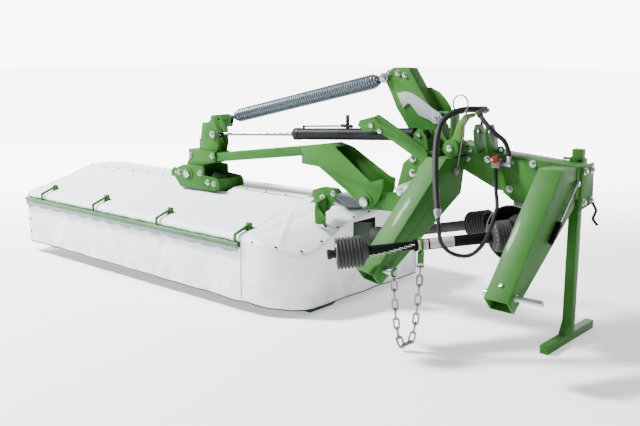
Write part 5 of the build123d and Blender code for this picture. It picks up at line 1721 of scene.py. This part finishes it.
@dataclass(frozen=True)
class Studio:
    """The floor, the white air with its bright wall, the lamps and the camera.

    The wall lies in the level direction `behind`, and the camera's place is in machine millimetres.
    """

    behind: Point = (-0.6526, 0.7577, 0.0)
    wall_strength: float = 8.0
    air_strength: float = 0.5
    floor_strength: float = 6.5
    view_place: Point = (4701.0, -4966.0, 2019.0)
    view_turn: float = 40.74
    view_dip: float = 11.43
    lens: float = 46.97
    lamps: tuple[Lamp, ...] = (
        Lamp("key", (-5.6, -4.4, 9.2), 1.6, 5200.0),
        Lamp("fill", (6.0, -5.0, 4.0), 5.0, 40.0),
        Lamp("back", (1.0, 7.0, 7.0), 6.0, 200.0),
    )

    def build(self) -> None:
        """Makes the whole studio."""
        self.floor()
        self.air()
        for lamp in self.lamps:
            lamp.build()
        self.camera()

    def floor(self) -> None:
        """Makes the paper floor, which glows behind the machine."""
        mesh = bmesh.new()
        bmesh.ops.create_grid(mesh, x_segments=1, y_segments=1, size=60.0)
        piece = shown("studio_floor", mesh)
        paper = Recipe("studio_paper")
        tone = paper.blend(paper.cloud(0.3, 2.0), solid((0.88, 0.88, 0.88)), solid((0.9, 0.9, 0.9)))
        x, y = paper.part(paper.here, 0), paper.part(paper.here, 1)
        behind = (x * self.behind[0] + y * self.behind[1]).clipped(0.6, 7.0)
        glow = paper.blend(behind, solid((0.08, 0.08, 0.08)), solid((1.0, 1.0, 1.0)))
        paper.set(Base_Color=tone, Roughness=0.9, Emission_Color=glow, Emission_Strength=self.floor_strength)
        piece.data.materials.append(paper.material)
        piece.location.z = -0.0005

    def air(self) -> None:
        """Makes the air soft white, with the bright wall low behind the machine."""
        world = bpy.data.worlds.new("studio_air")
        world.use_nodes = True
        tree = world.node_tree
        here = tree.nodes.new("ShaderNodeTexCoord").outputs["Generated"]
        parts = tree.nodes.new("ShaderNodeSeparateXYZ")
        tree.links.new(here, parts.inputs[0])
        behind = tree.nodes.new("ShaderNodeVectorMath")
        behind.operation = "DOT_PRODUCT"
        tree.links.new(here, behind.inputs[0])
        behind.inputs[1].default_value = self.behind
        low = self.ranged(tree, parts.outputs[2], (0.08, 0.22), (self.wall_strength, 0.0))
        towards = self.ranged(tree, behind.outputs["Value"], (-0.3, 0.92), (0.0, 1.0))
        glow = Reading(tree, low) * Reading(tree, towards) + self.air_strength
        background = tree.nodes["Background"]
        background.inputs[0].default_value = (1.0, 1.0, 1.0, 1.0)
        tree.links.new(glow.socket, background.inputs[1])
        bpy.context.scene.world = world

    def ranged(self, tree: bpy.types.NodeTree, source: Socket, limits: Span, strengths: Span) -> Socket:
        """Spreads a value between two limits over two strengths.

        Args:
            tree: the node tree.
            source: the value.
            limits: its lower and upper limit.
            strengths: what they become.

        Returns:
            The strength.
        """
        node = tree.nodes.new("ShaderNodeMapRange")
        tree.links.new(source, node.inputs["Value"])
        for socket, value in zip(("From Min", "From Max", "To Min", "To Max"), (*limits, *strengths)):
            node.inputs[socket].default_value = value
        return node.outputs[0]

    def camera(self) -> None:
        """Makes the camera."""
        view = bpy.data.cameras.new("view")
        view.lens = self.lens
        view.clip_end = 200.0
        camera = bpy.data.objects.new("view", view)
        camera.location = spot(*self.view_place)
        turn, dip = math.radians(self.view_turn), math.radians(self.view_dip)
        heading = Vector((-math.sin(turn) * math.cos(dip), math.cos(turn) * math.cos(dip), -math.sin(dip)))
        camera.rotation_euler = heading.to_track_quat("-Z", "Y").to_euler()
        bpy.context.scene.collection.objects.link(camera)
        bpy.context.scene.camera = camera


def main() -> None:
    """Builds every part in order."""
    logging.basicConfig(level=logging.INFO, format="%(name)s: %(message)s")
    Studio().build()
    Hoses().build()
    for casting in castings():
        casting.build()
    Covers().build()
    ReliefSpring().build()
    DriveLine().build()
    Hardware().build()


if __name__ == "__main__":
    main()
